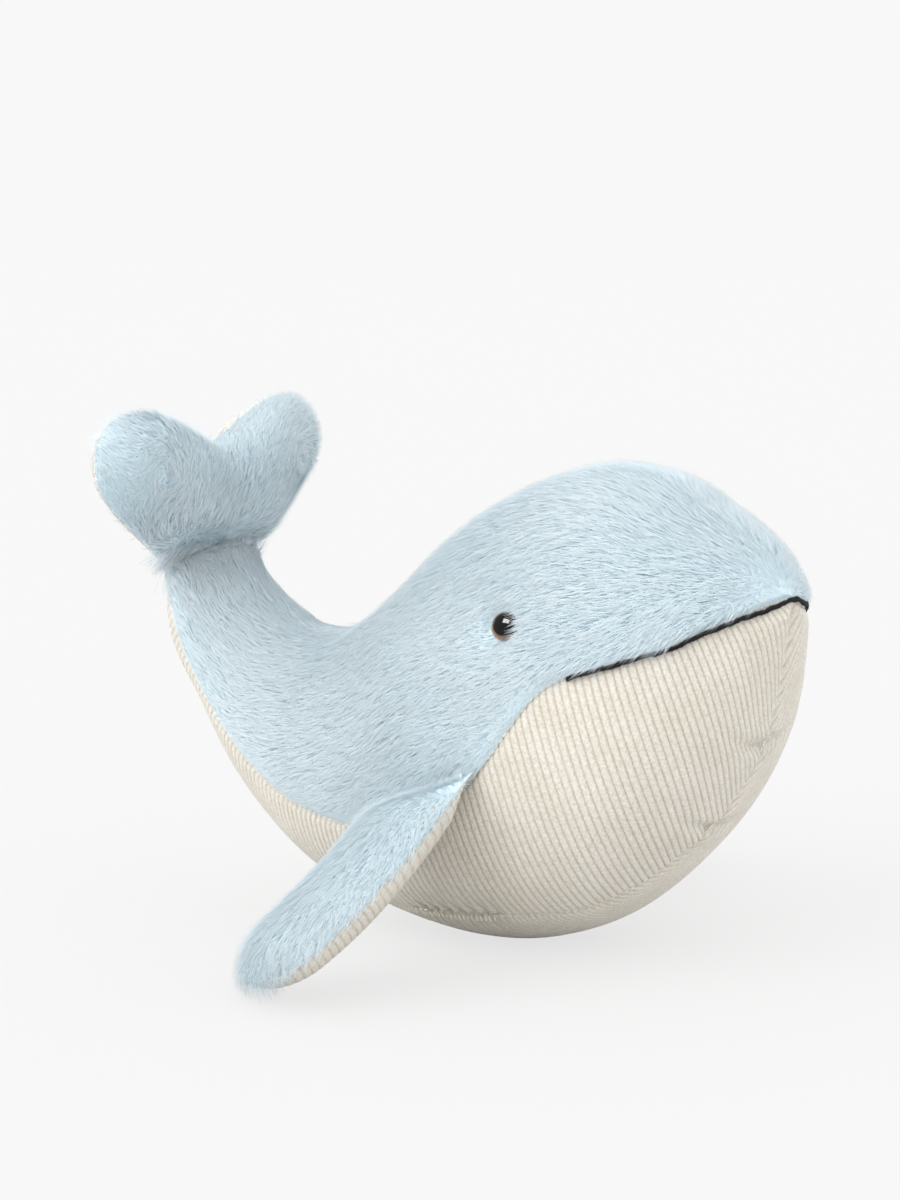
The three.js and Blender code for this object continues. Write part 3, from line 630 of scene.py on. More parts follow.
    # The skin under the hairs takes the colour of their roots: painted shade for the depth of the pile
    for geometry, up in ((strands, add(tree, "MULTIPLY_ADD", [rise, 0.94, 0.03])), (skin, 0.03)):
        mapped_part = add(tree, "GeometryNodeStoreNamedAttribute", {
            "Geometry": geometry, "Name": "OFBake",
            "Value": add(tree, "ShaderNodeCombineXYZ", [named["tone"], up])},
            data_type="FLOAT2", domain="CORNER")
        tree.links.new(mapped_part.outputs[0], joined.inputs[0])
    finished = add(tree, "GeometryNodeSetMaterial", {"Geometry": joined, "Material": given["Material"]})
    tree.links.new(finished.outputs[0], output.inputs[0])
    return tree


def stitch_tree():
    """A row of stitches along a path. The path's points carry out, the way off the cloth."""
    tree, given, output = tree_with("Stitch row", [
        ("Pitch", "Float"), ("Length", "Float"), ("Radius", "Float"), ("Slant", "Float"),
        ("Unevenness", "Float"), ("Seed", "Int"), ("Material", "Material")])
    curve = add(tree, "GeometryNodeMeshToCurve", [given["Geometry"]])
    spaced = add(tree, "GeometryNodeResampleCurve", {"Curve": curve, "Length": given["Pitch"]},
                 mode="LENGTH")
    out = add(tree, "GeometryNodeInputNamedAttribute", {"Name": "out"}, data_type="FLOAT_VECTOR")
    facing = add(tree, "FunctionNodeAxesToRotation", [out, add(tree, "GeometryNodeInputTangent")],
                 primary_axis="Z", secondary_axis="X")
    chance, tone = (
        add(tree, "FunctionNodeRandomValue", {2: low, 3: high, "Seed": seed}, data_type="FLOAT").outputs[1]
        for low, high, seed in ((-1.0, 1.0, given["Seed"]), (0.05, 0.95, 3)))
    slant = add(tree, "MULTIPLY_ADD", [chance, given["Unevenness"], given["Slant"]])
    aside = add(tree, "FunctionNodeEulerToRotation", [add(tree, "ShaderNodeCombineXYZ", {2: slant})])
    turned = add(tree, "FunctionNodeRotateRotation", [facing, aside], rotation_space="LOCAL")
    stitch = add(tree, "GeometryNodeMeshUVSphere", {"Segments": 8, "Rings": 6, "Radius": 1.0})
    rounded = add(tree, "GeometryNodeSetShadeSmooth", {"Geometry": stitch})
    share = add(tree, "MULTIPLY_ADD", [chance, given["Unevenness"], 0.5])
    half = add(tree, "MULTIPLY", [given["Length"], share])
    size = add(tree, "ShaderNodeCombineXYZ", [half, given["Radius"], given["Radius"]])
    planted = add(tree, "GeometryNodeInstanceOnPoints", {
        "Points": spaced, "Instance": rounded, "Rotation": turned, "Scale": size})
    toned = add(tree, "GeometryNodeStoreNamedAttribute", {
        "Geometry": planted, "Name": "tone", "Value": tone}, data_type="FLOAT", domain="INSTANCE")
    stitches = add(tree, "GeometryNodeRealizeInstances", {"Geometry": toned})
    shade = add(tree, "GeometryNodeInputNamedAttribute", {"Name": "tone"}, data_type="FLOAT")
    placed = add(tree, "GeometryNodeStoreNamedAttribute", {
        "Geometry": stitches, "Name": "OFBake", "Value": add(tree, "ShaderNodeCombineXYZ", [shade, 0.5])},
        data_type="FLOAT2", domain="CORNER")
    finished = add(tree, "GeometryNodeSetMaterial", {"Geometry": placed, "Material": given["Material"]})
    tree.links.new(finished.outputs[0], output.inputs[0])
    return tree


PILE = pile_tree()
STITCHES = stitch_tree()


def declare(obj, body, nodes):
    """Rides a finished piece on its body in place of its solids."""
    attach(obj, body)
    note(nodes)


def note(nodes):
    """Hides the solids that a piece stands for."""
    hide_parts(*nodes)


def grow_pile(obj, seed, swirl=1.6, swirl_size=0.05, pull=0.4):
    """Covers a skin with strands and joins them to it."""
    share = 1
    run_tree(obj, PILE, {
        "Density": STRANDS_PER_M2 * share, "Length": PILE_LENGTH, "Radius": STRAND_RADIUS / share ** 0.5,
        "Tuft density": 1 / TUFT_SPACING ** 2, "Tuft pull": pull, "Swirl": swirl, "Swirl size": swirl_size,
        "Seed": seed, "Material": FUR})


def sew(name, path, out, material=None, pitch=SEAM_PITCH, length=SEAM_STITCH, radius=THREAD_RADIUS,
        slant=0.0, unevenness=0.05):
    """A row of stitches along a path of points, of pale thread unless another is given."""
    edges = [(k, k + 1) for k in range(len(path) - 1)]
    mesh = bpy.data.meshes.new(name)
    mesh.from_pydata(np.asarray(path).tolist(), edges, [])
    point_attributes(mesh, out=out)
    obj = bpy.data.objects.new(name, mesh)
    bpy.context.collection.objects.link(obj)
    run_tree(obj, STITCHES, {
        "Pitch": pitch, "Length": length, "Radius": radius, "Slant": slant,
        "Unevenness": unevenness, "Seed": 5, "Material": material or PALE_THREAD})
    return obj


def eye_place(side):
    """Where an eye sits on the cloth, and the way it faces."""
    t, turn = np.array(EYE_ALONG_SHARE), np.array(side * EYE_TURN_SHARE * math.pi)
    return cloth_point(t, turn), cloth_normal(t, turn)


def grid_normals(points, towards):
    """Normals of a grid of points, on the side that the given vectors point to."""
    normals = unit(np.cross(np.gradient(points, axis=0), np.gradient(points, axis=1)))
    return normals * np.sign((normals * towards).sum(-1, keepdims=True) + 1e-9)


def halves_map(rows, columns):
    """Places on the colour map for a shell: its outside in the lower half, its inside above."""
    def block(low):
        v, u = np.meshgrid(np.linspace(low, low + 0.46, rows),
                           np.linspace(MAP_INSET, 1 - MAP_INSET, columns), indexing="ij")
        return np.stack([u, v], -1).reshape(-1, 2)
    return np.vstack([block(MAP_INSET), block(0.5 + MAP_INSET)])


def finish_skin(obj, outer, inner, comb, pile, cover, tone=0.5):
    """Gives a shell's outer points their comb, pile, cover and tone, and its inner points no cover.
    Merging has renumbered the points, so each is known by its place."""
    mesh = obj.data
    places = np.zeros(len(mesh.vertices) * 3)
    mesh.vertices.foreach_get("co", places)
    source = np.vstack([outer.reshape(-1, 3), inner.reshape(-1, 3)])
    order = nearest_rows(places.reshape(-1, 3), source)
    count = outer.reshape(-1, 3).shape[0]
    is_outer = order < count
    picked = np.where(is_outer, order, 0)

    def flat(value):
        value = np.broadcast_to(value, outer.shape[:2] + np.shape(value)[2:])
        return value.reshape(count, *value.shape[2:])[picked]
    point_attributes(mesh, comb=flat(comb), pile=flat(pile), cover=np.where(is_outer, flat(cover), 0.0),
                     tone=flat(tone))


def nearest_rows(places, source):
    """For each place, the number of the source point that it came from."""
    order = np.zeros(len(places), int)
    for start in range(0, len(places), 500):
        block = places[start:start + 500]
        order[start:start + 500] = ((block[:, None] - source[None]) ** 2).sum(-1).argmin(1)
    return order


def sway(points):
    """A slow change of tone over the fur."""
    x, y, z = (points[..., k] for k in range(3))
    return np.clip(0.5 + 0.2 * np.sin(61 * x + 2 * np.sin(47 * z)) * np.sin(73 * y + 1), 0.1, 0.9)


def make_back_fur(label, side):
    """Half of the back: a backing, an undercoat over it and the combed pile."""
    t, share = body_grid(161, 45, 1.25)
    turn = side * side_seam(t, side) * share
    cloth = cloth_point(t, turn)
    from_seam = side_seam(t, side) * (1 - share) * girth_rate(t, turn)
    place, _ = eye_place(side)
    from_eye = np.linalg.norm(cloth - place, axis=-1)
    from_end = (1 - t) * (NOSE_REACH + TAIL_REACH)

    # How far each point is in a region, from 0 to 1
    on_nose = smooth((0.17 - t) / 0.15)
    on_tail = smooth((t - 0.45) / 0.15)
    by_mouth = smooth((MOUTH_END_SHARE + 0.02 - t) / 0.03)
    by_fin = smooth((t - 0.435) / 0.025) * smooth((0.6 - t) / 0.025)
    by_fold = smooth((t - 0.93) / 0.05)
    by_seam = 1 - smooth(from_seam / 0.02)
    by_eye = smooth((0.013 - from_eye) / 0.006)
    ahead = smooth(unit(cloth - place) @ np.array([1.0, 0, 0.3]) + 0.5)
    behind_fin = on_tail * (1 - by_fin)

    # The skin is thin by the nose and the fold, dips round the eye and tucks in at the seam
    bed = 0.0006
    dish = smooth((from_eye - EYE_RADIUS - 0.0004) / (0.005 - 0.002 * ahead))
    lift = UNDERCOAT * smooth(from_end / 0.008) * (1 - 0.9 * on_nose)
    lift = (lift + bed) * dish - bed
    tuck = 0.0012 - 0.0022 * by_fin
    tuck_width = 0.005 - 0.0022 * by_mouth + 0.004 * on_tail
    lift = lift - (lift + tuck) * (1 - smooth(from_seam / tuck_width))
    outer = body_point(t, turn, lift)
    inner = body_point(t, turn, -BACKING_THICKNESS - 0.0004)
    obj = make_shell(f"back_fur_pile_{label}", outer, inner)

    # Combed to the tail, and a little to the seam
    step = 0.004
    comb = unit(cloth_point(np.minimum(t + step, 1), turn) - cloth_point(np.maximum(t - step, 0), turn))
    seam_way = unit(cloth_point(t, turn + side * step) - cloth)
    aside = 0.2 + by_seam * (0.25 - 0.2 * by_mouth - 0.25 * behind_fin + 0.45 * by_fin)
    comb = unit(comb + seam_way * aside[..., None])
    comb = comb * (1 - 0.2 * by_eye * ahead)[..., None]

    # Shorter at the seam, on the nose and behind the eye; ahead of the eye it falls over the edge
    edge = 0.5 - 0.12 * by_mouth - 0.05 * behind_fin + 0.1 * by_fin
    pile = edge + (1 - edge) * smooth(from_seam / (0.01 - 0.007 * by_mouth + 0.008 * on_tail))
    pile = pile * (1 - by_eye * (0.45 - 0.45 * ahead)) * (1 - 0.4 * on_nose)
    cover = np.where(from_eye < EYE_RADIUS + 0.0012 - 0.0008 * ahead, 0.0, 1.0)
    # Tone: a slow change at random, with painted shade on the short hairs round the eye and painted light
    # against the shade of the fold
    finish_skin(obj, outer, inner, comb, pile, cover, sway(outer) - 0.3 * by_eye + 0.3 * by_fold)
    grow_pile(obj, 10 + side, pull=0.24)
    declare(obj, "body", [f"back_fur_{label}"])


def flat_pattern(points):
    """Lays a curved panel flat with little stretch: a place in metres for each point of the grid, as
    the cloth was cut."""
    rows, columns, _ = points.shape
    mesh = bpy.data.meshes.new("pattern")
    mesh.from_pydata(points.reshape(-1, 3).tolist(), [], grid_faces(rows, columns).tolist())
    obj = bpy.data.objects.new("pattern", mesh)
    bpy.context.collection.objects.link(obj)
    mesh.uv_layers.new(name="cut")
    bpy.context.view_layer.objects.active = obj
    obj.select_set(True)
    bpy.ops.object.mode_set(mode="EDIT")
    bpy.ops.mesh.select_all(action="SELECT")
    bpy.ops.uv.unwrap(method="MINIMUM_STRETCH", iterations=60, margin=0.0, correct_aspect=False)
    bpy.ops.object.mode_set(mode="OBJECT")
    corners = np.zeros(len(mesh.loops), int)
    mesh.loops.foreach_get("vertex_index", corners)
    places = np.zeros(len(mesh.loops) * 2)
    mesh.uv_layers["cut"].data.foreach_get("uv", places)
    flat = np.zeros((rows * columns, 2))
    flat[corners] = places.reshape(-1, 2)
    flat = flat.reshape(rows, columns, 2)
    bpy.data.objects.remove(obj)
    bpy.data.meshes.remove(mesh)
    real = np.linalg.norm(np.diff(points, axis=0), axis=-1).sum()
    drawn = np.linalg.norm(np.diff(flat, axis=0), axis=-1).sum()
    return flat * real / drawn


def belly_turns(t, side, share):
    """Turns across a belly panel: share 0 at the side seam, 1 at the belly seam."""
    start = side_seam(t, side)
    return side * (start + (belly_turn(t, side) - start) * share)


def belly_pattern(side):
    """The flat pattern of a belly panel: the stations of its rows, and for each point how far it lies
    across the wales and along them."""
    t, share = body_grid(81, 25, 1.2)
    flat = flat_pattern(cloth_point(t, belly_turns(t, side, share)))
    # Measured along the side seam and away from it, from a point of the seam by the cheek
    first, origin, last = 20, 30, 40
    seam_way = flat[last, 0] - flat[first, 0]
    seam_way = seam_way / np.linalg.norm(seam_way)
    side_way = np.array([-seam_way[1], seam_way[0]])
    side_way = side_way * np.sign((flat[origin, 0] - flat[origin, -1]) @ side_way)
    back, up = flat @ seam_way, flat @ side_way
    back, up = back - back[origin, 0], up - up[origin, 0]
    across = back + WALE_DRIFT * back * (up + 0.05) + WALE_SLANT * up + WALE_CURVE * up ** 2 / 2
    along = up - WALE_SLANT * back
    return t[:, 0], across - across.min() + WALE_PITCH, along - along.min() + WALE_PITCH


def between_columns(values, share):
    """Rows of values read at shares across their columns."""
    columns = values.T
    return catmull(columns, share, 2 * columns[0] - columns[1])


def wale_rows(low, high):
    """Distances across the wales at which a corduroy grid has its rows."""
    first, last = math.floor(low / WALE_PITCH), math.ceil(high / WALE_PITCH)
    rows = [(k + share) * WALE_PITCH for k in range(first, last) for share in WALE_SHARES]
    return np.array([*rows, last * WALE_PITCH])


def ridge(across):
    """The height of the wales' relief as a share: 0 in a groove, 1 on a ridge."""
    place = across / WALE_PITCH
    return (1 - (2 * (place - np.floor(place)) - 1) ** 2) ** 0.55


def puckers(t, from_seam):
    """How deep the closing stitches draw the cloth in: a dent at every second stitch."""
    length = NOSE_REACH + TAIL_REACH
    low, high = CLOSING_SHARES
    window = smooth((t - low + 0.02) / 0.02) * smooth((high + 0.02 - t) / 0.02)
    folds = 0.5 - 0.5 * np.cos(math.pi * (t - low) * length / CLOSING_PITCH)
    return window * np.exp(-(from_seam / 0.011) ** 2) * (0.0006 + 0.0017 * folds)


def creases(t, from_seam):
    """Two folds across the belly seam under the chin: how deep they dent the cloth."""
    metres = 0.42
    dent = 0
    for place, depth in ((0.2, 0.0036), (0.284, 0.0034)):
        away = (t - place) * metres
        dent = dent + depth * (1.2 * np.exp(-(away / 0.0027) ** 2) - 0.45 * np.exp(-(away / 0.007) ** 2))
    return dent * np.exp(-(from_seam / 0.021) ** 2)


def make_belly(label, side):
    """Half of the belly in corduroy. Its wales are lines on the flat pattern."""
    stations, across, along = belly_pattern(side)
    columns = 65
    shares = np.linspace(0, 1, columns)
    across, along = between_columns(across, shares), between_columns(along, shares)
    wanted = wale_rows(across.min(), across.max())
    t = np.stack([np.interp(wanted, column, stations) for column in across], 1)
    place_across, place_along = (
        np.stack([np.interp(t[:, k], stations, values[k]) for k in range(columns)], 1)
        for values in (across, along))
    share = shares[None, :] * np.ones_like(t)
    turn = belly_turns(t, side, share)
    wide = (belly_turn(t, side) - side_seam(t, side)) * girth_rate(t, turn)
    from_side, from_belly = share * wide, (1 - share) * wide
    inside = np.minimum(from_side, from_belly)
    tuck = 0.0013 * (1 - smooth(inside / 0.0035))
    chin = CHIN_PUFF * (1 - smooth((t - 0.05) / 0.12))
    tail = TAIL_PUFF * at_tail_end(t) * (1 - 0.9 * smooth((t - 0.965) / 0.033))
    puff = (chin + tail) * smooth(inside / 0.009)
    dent = tuck + puckers(t, from_belly) + creases(t, from_belly) - puff
    outer = body_point(t, turn, -WALE_DEPTH * (1 - ridge(place_across)) - dent)
    inner = body_point(t, turn, -CORD_THICKNESS - 0.0005 - dent)[::WALE_ROWS]
    # Flattened by the floor
    outer[..., 2] = np.maximum(outer[..., 2], 0.0001)
    inner[..., 2] = np.maximum(inner[..., 2], 0.0012)
    obj = make_shell(f"belly_corduroy_{label}", outer, inner, WALE_ROWS,
                     corduroy_map(place_across, place_along), CORDUROY)
    declare(obj, "body", [f"belly_cord_{label}"])


def lumps(points, size, depth):
    """Soft lumps for filling: how far each point stands out."""
    heights = [noise.fractal(Vector(p) / size, 0.6, 2.1, 3) for p in points.reshape(-1, 3)]
    return np.array(heights).reshape(points.shape[:-1]) * depth


def loop_faces(rows, columns):
    """Faces of a tube through closed loops of points, with a face over each end."""
    faces = []
    for i in range(rows - 1):
        for j in range(columns):
            k = (j + 1) % columns
            faces.append([i * columns + j, (i + 1) * columns + j, (i + 1) * columns + k, i * columns + k])
    start = (rows - 1) * columns
    return [*faces, list(range(columns)), list(range(start, start + columns))]


def loop_map(rows, columns):
    """Places on the colour map for a tube of loops."""
    v, u = np.meshgrid(np.linspace(MAP_INSET, 1 - MAP_INSET, rows),
                       np.linspace(MAP_INSET, 1 - MAP_INSET, columns), indexing="ij")
    return np.stack([u, v], -1)


def make_body_filling(name, node, first, last):
    """A stretch of the body's filling: lumpy, pinched at the seams and flattened by the floor."""
    rows, columns = 90, 96
    t = np.linspace(first, last, rows)[:, None] * np.ones((1, columns))
    turn = np.linspace(0, 2 * math.pi, columns, endpoint=False)[None, :] * np.ones((rows, 1))
    rest = body_point(t, turn, -FILLING_INSET - 0.0003)
    seams = np.stack([np.abs(turn - seam) for seam in (
        side_seam(t), 2 * math.pi - side_seam(t), belly_seam(t))]).min(0)
    pinch = 0.0011 * (1 - smooth(seams / 0.08))
    points = rest - cloth_normal(t, turn) * (pinch + 0.0004 + lumps(rest, 0.009, 0.0004))[..., None]
    points[..., 2] = np.maximum(points[..., 2], 0.002)
    obj = make_object(name, points, loop_faces(rows, columns), loop_map(rows, columns), FILLING)
    declare(obj, "body", [node])


def seam_path(first, last, turn_at, lift, count):
    """Points along a seam of the body, and the way off the cloth at each."""
    t = np.linspace(first, last, count)
    turn = turn_at(t)
    return body_point(t, turn, lift), cloth_normal(t, turn)


def sew_body():
    """The seams of the body. They lie deeper than the cloth, all but the closing stitches."""
    rows = [(f"side_seam_stitches_{label}", f"side_seam_thread_{label}", SEAM_START_SHARE, 1,
             lambda t, side=side: side * side_seam(t, side), -0.0011) for label, side in SIDES.items()]
    rows += [
        ("back_seam_stitches", "back_seam_thread", SEAM_START_SHARE, 1, lambda t: 0 * t, -0.0021),
        ("belly_seam_stitches", "belly_seam_thread", SEAM_START_SHARE, CLOSING_SHARES[0],
         belly_seam, -0.0014),
        ("tail_seam_stitches", "tail_seam_thread", CLOSING_SHARES[1], 1, belly_seam, -0.0014)]
    for name, node, first, last, turn_at, lift in rows:
        path, out = seam_path(first, last, turn_at, lift, 160)
        path[:, 2] = np.maximum(path[:, 2], 0.0008)
        declare(sew(name, path, out), "body", [node])
    path, out = seam_path(*CLOSING_SHARES, belly_seam, 0.0002, 60)
    row = sew("closing_stitches", path, out, PALE_THREAD, CLOSING_PITCH, CLOSING_STITCH, CLOSING_RADIUS,
              math.radians(72), 0.12)
    declare(row, "body", ["closing_thread"])


def sew_mouth():
    """The mouth: black stitches side by side over the seam, from cheek to cheek round the nose."""
    count = 90
    t = np.linspace(MOUTH_END_SHARE ** 0.5, 0.03, count) ** 2
    t = np.concatenate([t, t[::-1]])
    side = np.repeat([-1.0, 1.0], count)
    # Hand-guided, so it wavers a little
    wave = 0.0002 * np.sin(t * 90) + 0.00018 * np.sin(t * 230 + 1)
    below_seam, least_rate = 0.0012, 0.01
    seam = np.where(side > 0, side_seam(t, 1), side_seam(t, -1))
    turn = side * (seam + (wave + below_seam) / np.maximum(girth_rate(t, seam), least_rate))
    row = sew("mouth_satin_stitches", body_point(t, turn, 0.0018), cloth_normal(t, turn), MOUTH_THREAD,
              SATIN_PITCH, SATIN_WIDTH, SATIN_RADIUS, math.radians(80), 0.11)
    declare(row, "body", ["mouth_stitching"])


def make_eye(label, side):
    """A safety eye: a domed head with a rim, on a ribbed shank."""
    foot = EYE_SEAT - SHANK_LENGTH
    groove = SHANK_RADIUS - RIB_DEPTH
    half_rim = EYE_RIM / 2
    pitch = (SHANK_LENGTH - EYE_RIM) / RIB_COUNT
    profile = [(0, foot)]
    for base in (foot + k * pitch for k in range(RIB_COUNT)):
        profile += [(groove, base), (SHANK_RADIUS, base + pitch * 0.45), (SHANK_RADIUS, base + pitch * 0.6)]
    profile += [(groove, EYE_SEAT), (EYE_RADIUS - half_rim, EYE_SEAT)]
    for turn in np.radians(np.linspace(-70, 0, 5)):
        profile.append((EYE_RADIUS - half_rim * (1 - math.cos(turn)),
                        EYE_SEAT + half_rim * (1 + math.sin(turn))))
    for turn in np.radians(np.linspace(0, 90, 17)[1:-1]):
        profile.append((EYE_RADIUS * math.cos(turn),
                        EYE_SEAT + half_rim + (EYE_HEIGHT - half_rim) * math.sin(turn)))
    profile.append((0, EYE_SEAT + EYE_HEIGHT))
    place, normal = eye_place(side)
    forward = unit(np.array([1.0, 0, 0]) - normal * normal[0])
    upward = np.cross(normal, forward) * -side
    angles = np.linspace(0, 2 * math.pi, EYE_SEGMENTS, endpoint=False)
    radius, height = np.array(profile).T
    flat = np.stack([radius[:, None] * np.cos(angles), radius[:, None] * np.sin(angles)], -1)
    points = place + flat[..., :1] * forward + flat[..., 1:] * upward + height[:, None, None] * normal
    obj = make_object(f"eye_button_{label}", points, loop_faces(len(profile), EYE_SEGMENTS),
                      0.5 + flat / (2 * EYE_RADIUS) * 0.98, EYE_PLASTIC)
    declare(obj, "body", [f"eye_{label}"])


def fin_frame(side):
    """A fin's own directions: along to its tip, along its root, and through its thickness."""
    shares = np.array(FIN_ROOT_SHARES)
    front, rear = body_point(shares, side * side_seam(shares), FIN_HINGE_LIFT)
    root = (front + rear) / 2
    reach = np.array([FIN_TIP[0], side * FIN_TIP[1], FIN_TIP[2]]) - root
    length = np.linalg.norm(reach)
    along = reach / length
    root_width = np.linalg.norm(front - rear)
    root_line = (front - rear) / root_width
    square = unit(root_line - along * (root_line @ along))
    through = unit(np.cross(along, square) * -side)
    return root, length, along, root_line, root_width, square, through


def fin_point(fin, s, turn, offset, push=0.0):
    """A fin's surface: s runs from the root line, 0, to the tip, 1; turn 0 is the leading edge.
    offset moves it outwards all round, and push thickens it."""
    root, length, along, root_line, root_width, square, through = fin
    s, turn = np.broadcast_arrays(s, turn)
    blend = smooth(s / FIN_TWIST_SHARE)
    across = unit(root_line + (square - root_line) * blend[..., None])
    taper = np.maximum(0, (s - FIN_ROUND_SHARE) / (1 - FIN_ROUND_SHARE))
    round_share = np.sqrt(np.maximum(0, 1 - taper ** 2))
    width = root_width / 2 + (FIN_WIDTH / 2 - root_width / 2) * blend
    reach = s * (length + offset)
    swell = 1 - FIN_SWELL_SHARE + FIN_SWELL_SHARE * np.sin(math.pi * np.maximum(0, s))
    full = FIN_THICKNESS / 2 * swell * round_share
    wedge = FIN_ROOT_THICKNESS / 2 + FIN_WEDGE_SLOPE * np.maximum(0, reach)
    thick = np.minimum(full + (offset + push) * round_share, wedge + np.minimum(offset, 0))
    bow = FIN_BOW * np.sin(FIN_BOW_TURN * np.maximum(0, s))
    return (root + along * reach[..., None]
            + across * ((width + offset) * round_share * np.cos(turn) + bow)[..., None]
            + through * (thick * np.sin(turn))[..., None])


def bend_fin(obj, node):
    """Bakes the piece's place into its mesh and hides the solids it stands for."""
    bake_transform(obj)
    note([node])


def make_fin(label, side):
    """A fin: pile on top, corduroy below, filling between them and a seam round the edge."""
    fin = fin_frame(side)
    _, length, along, _, _, square, through = fin
    first = -(FIN_TAB + 0.001) / length
    apart = through * 0.0001

    rows = 61
    s = np.concatenate([[first], np.sin(np.linspace(0, math.pi / 2, rows - 1))])[:, None]
    turn = np.linspace(0.0, math.pi, 33)[None, :]
    push = PILE_PUSH * smooth(np.sin(turn) / 0.7)
    outer = fin_point(fin, s, turn, 0.0, push) + apart
    inner = fin_point(fin, s, turn, -BACKING_THICKNESS) + apart
    obj = make_shell(f"fin_{label}_pile", outer, inner)
    # By the root the hairs stand up and cover the seam
    by_root = 1 - smooth(s / 0.14)
    spread = np.cos(turn) * 0.5
    comb = unit(along + square * spread[..., None] * np.ones((rows, 1, 1)))
    comb = comb * (1 - 1.2 * by_root)[..., None]
    pile = 0.85 + 0.15 * np.sin(turn) + 0.1 * by_root
    finish_skin(obj, outer, inner, comb, pile, 1.0, sway(outer))
    grow_pile(obj, 20 + side, swirl=1.1)
    bend_fin(obj, f"fin_{label}_fur")

    s = np.clip(wale_rows(first * length, length - WALE_PITCH * 0.2) / length, first, 1)[:, None]
    turn = -np.linspace(0.0, math.pi, 25)[None, :]
    cloth = fin_point(fin, s, turn, 0.0)
    outward = grid_normals(cloth, cloth - fin_point(fin, s, turn, -0.002))
    tuck = 0.0006 * (1 - smooth(np.sin(-turn) / 0.25))
    relief = 0.5 * WALE_DEPTH * (1 - ridge(s * length)) + tuck
    outer = cloth - outward * relief[..., None] - apart
    inner = (fin_point(fin, s, turn, -CORD_THICKNESS - 0.0004) - apart)[::WALE_ROWS]
    steps = np.linalg.norm(np.diff(cloth[len(s) // 2], axis=0), axis=-1)
    girth = np.concatenate([[0], np.cumsum(steps)])
    uv = corduroy_map(s * length + 2 * WALE_PITCH, girth + MAP_INSET * PATTERN_SIZE)
    obj = make_shell(f"fin_{label}_corduroy", outer, inner, WALE_ROWS, uv, CORDUROY)
    bend_fin(obj, f"fin_{label}_cord")

    rows, columns = 40, 40
    s = np.concatenate([[first], np.sin(np.linspace(0, 0.93 * math.pi / 2, rows - 1))])[:, None]
    turn = np.linspace(0, 2 * math.pi, columns, endpoint=False)[None, :]
    rest = fin_point(fin, s, turn, -FILLING_INSET)
    inward = unit(fin_point(fin, s, turn, -FILLING_INSET - 0.001) - rest + 1e-9)
    points = rest + inward * np.maximum(0, 0.0002 + lumps(rest, 0.008, 0.0003))[..., None]
    obj = make_object(f"fin_{label}_stuffing", points, loop_faces(rows, columns),
                      loop_map(rows, columns), FILLING)
    bend_fin(obj, f"fin_{label}_filling")

    # Out along the leading edge and back along the other
    u = np.linspace(0, 2, 120)
    s = np.maximum(np.sin(np.minimum(u, 2 - u) * math.pi / 2) * (1 - 0.0003 / length), 0.0)
    turn = np.where(u < 1, 0.0, math.pi)
    path = fin_point(fin, s, turn, -0.0005)
    out = unit(path - fin_point(fin, s * 0.97, turn, -0.002))
    row = sew(f"fin_{label}_seam_stitches", path, out)
    bend_fin(row, f"fin_{label}_seam_thread")


def fluke_frame():
    """The fluke's foot over the end of the tail, its plane's place along X and its lowest height."""
    centre, rise = section(np.array(1.0))[:2]
    way = rise / np.linalg.norm(rise)
    up = -np.cross([0, 1, 0], way)
    foot = centre + up * FOLD_GAP
    return foot, foot[0] - FLUKE_LEAN, foot[2]


def fluke_outline():
    """Half of the outline, densely: out from the middle and up from the fold, in metres."""
    t = np.linspace(0, 1, 400)
    first = LOBE_SHARES[0]
    return catmull(LOBE_SHARES, t, 2 * first - LOBE_SHARES[1]) * [FLUKE_SPAN / 2, FLUKE_HEIGHT]


FLUKE_FOOT, FLUKE_PLANE, FLUKE_FLOOR = fluke_frame()
OUTLINE = fluke_outline()
HALF_SPAN = OUTLINE[:, 0].max()
FOOT_HALF = LOBE_SHARES[0, 0] * FLUKE_SPAN / 2
FLUKE_MIDDLE = FLUKE_CENTRE_SHARE * FLUKE_HEIGHT


def fluke_edges(out, inset):
    """The lowest and highest points of the outline at distances out from the middle."""
    widest = int(np.argmax(OUTLINE[:, 0]))
    place = np.abs(out) / (1 - inset / (FLUKE_SPAN / 2))
    low = np.interp(place, OUTLINE[:widest + 1, 0], OUTLINE[:widest + 1, 1])
    high = np.interp(place, OUTLINE[widest:, 0][::-1], OUTLINE[widest:, 1][::-1])
    tall = 1 - inset / (FLUKE_HEIGHT / 2)
    low = np.where(low > 0, FLUKE_MIDDLE + (low - FLUKE_MIDDLE) * tall, 0)
    return low, FLUKE_MIDDLE + (high - FLUKE_MIDDLE) * tall


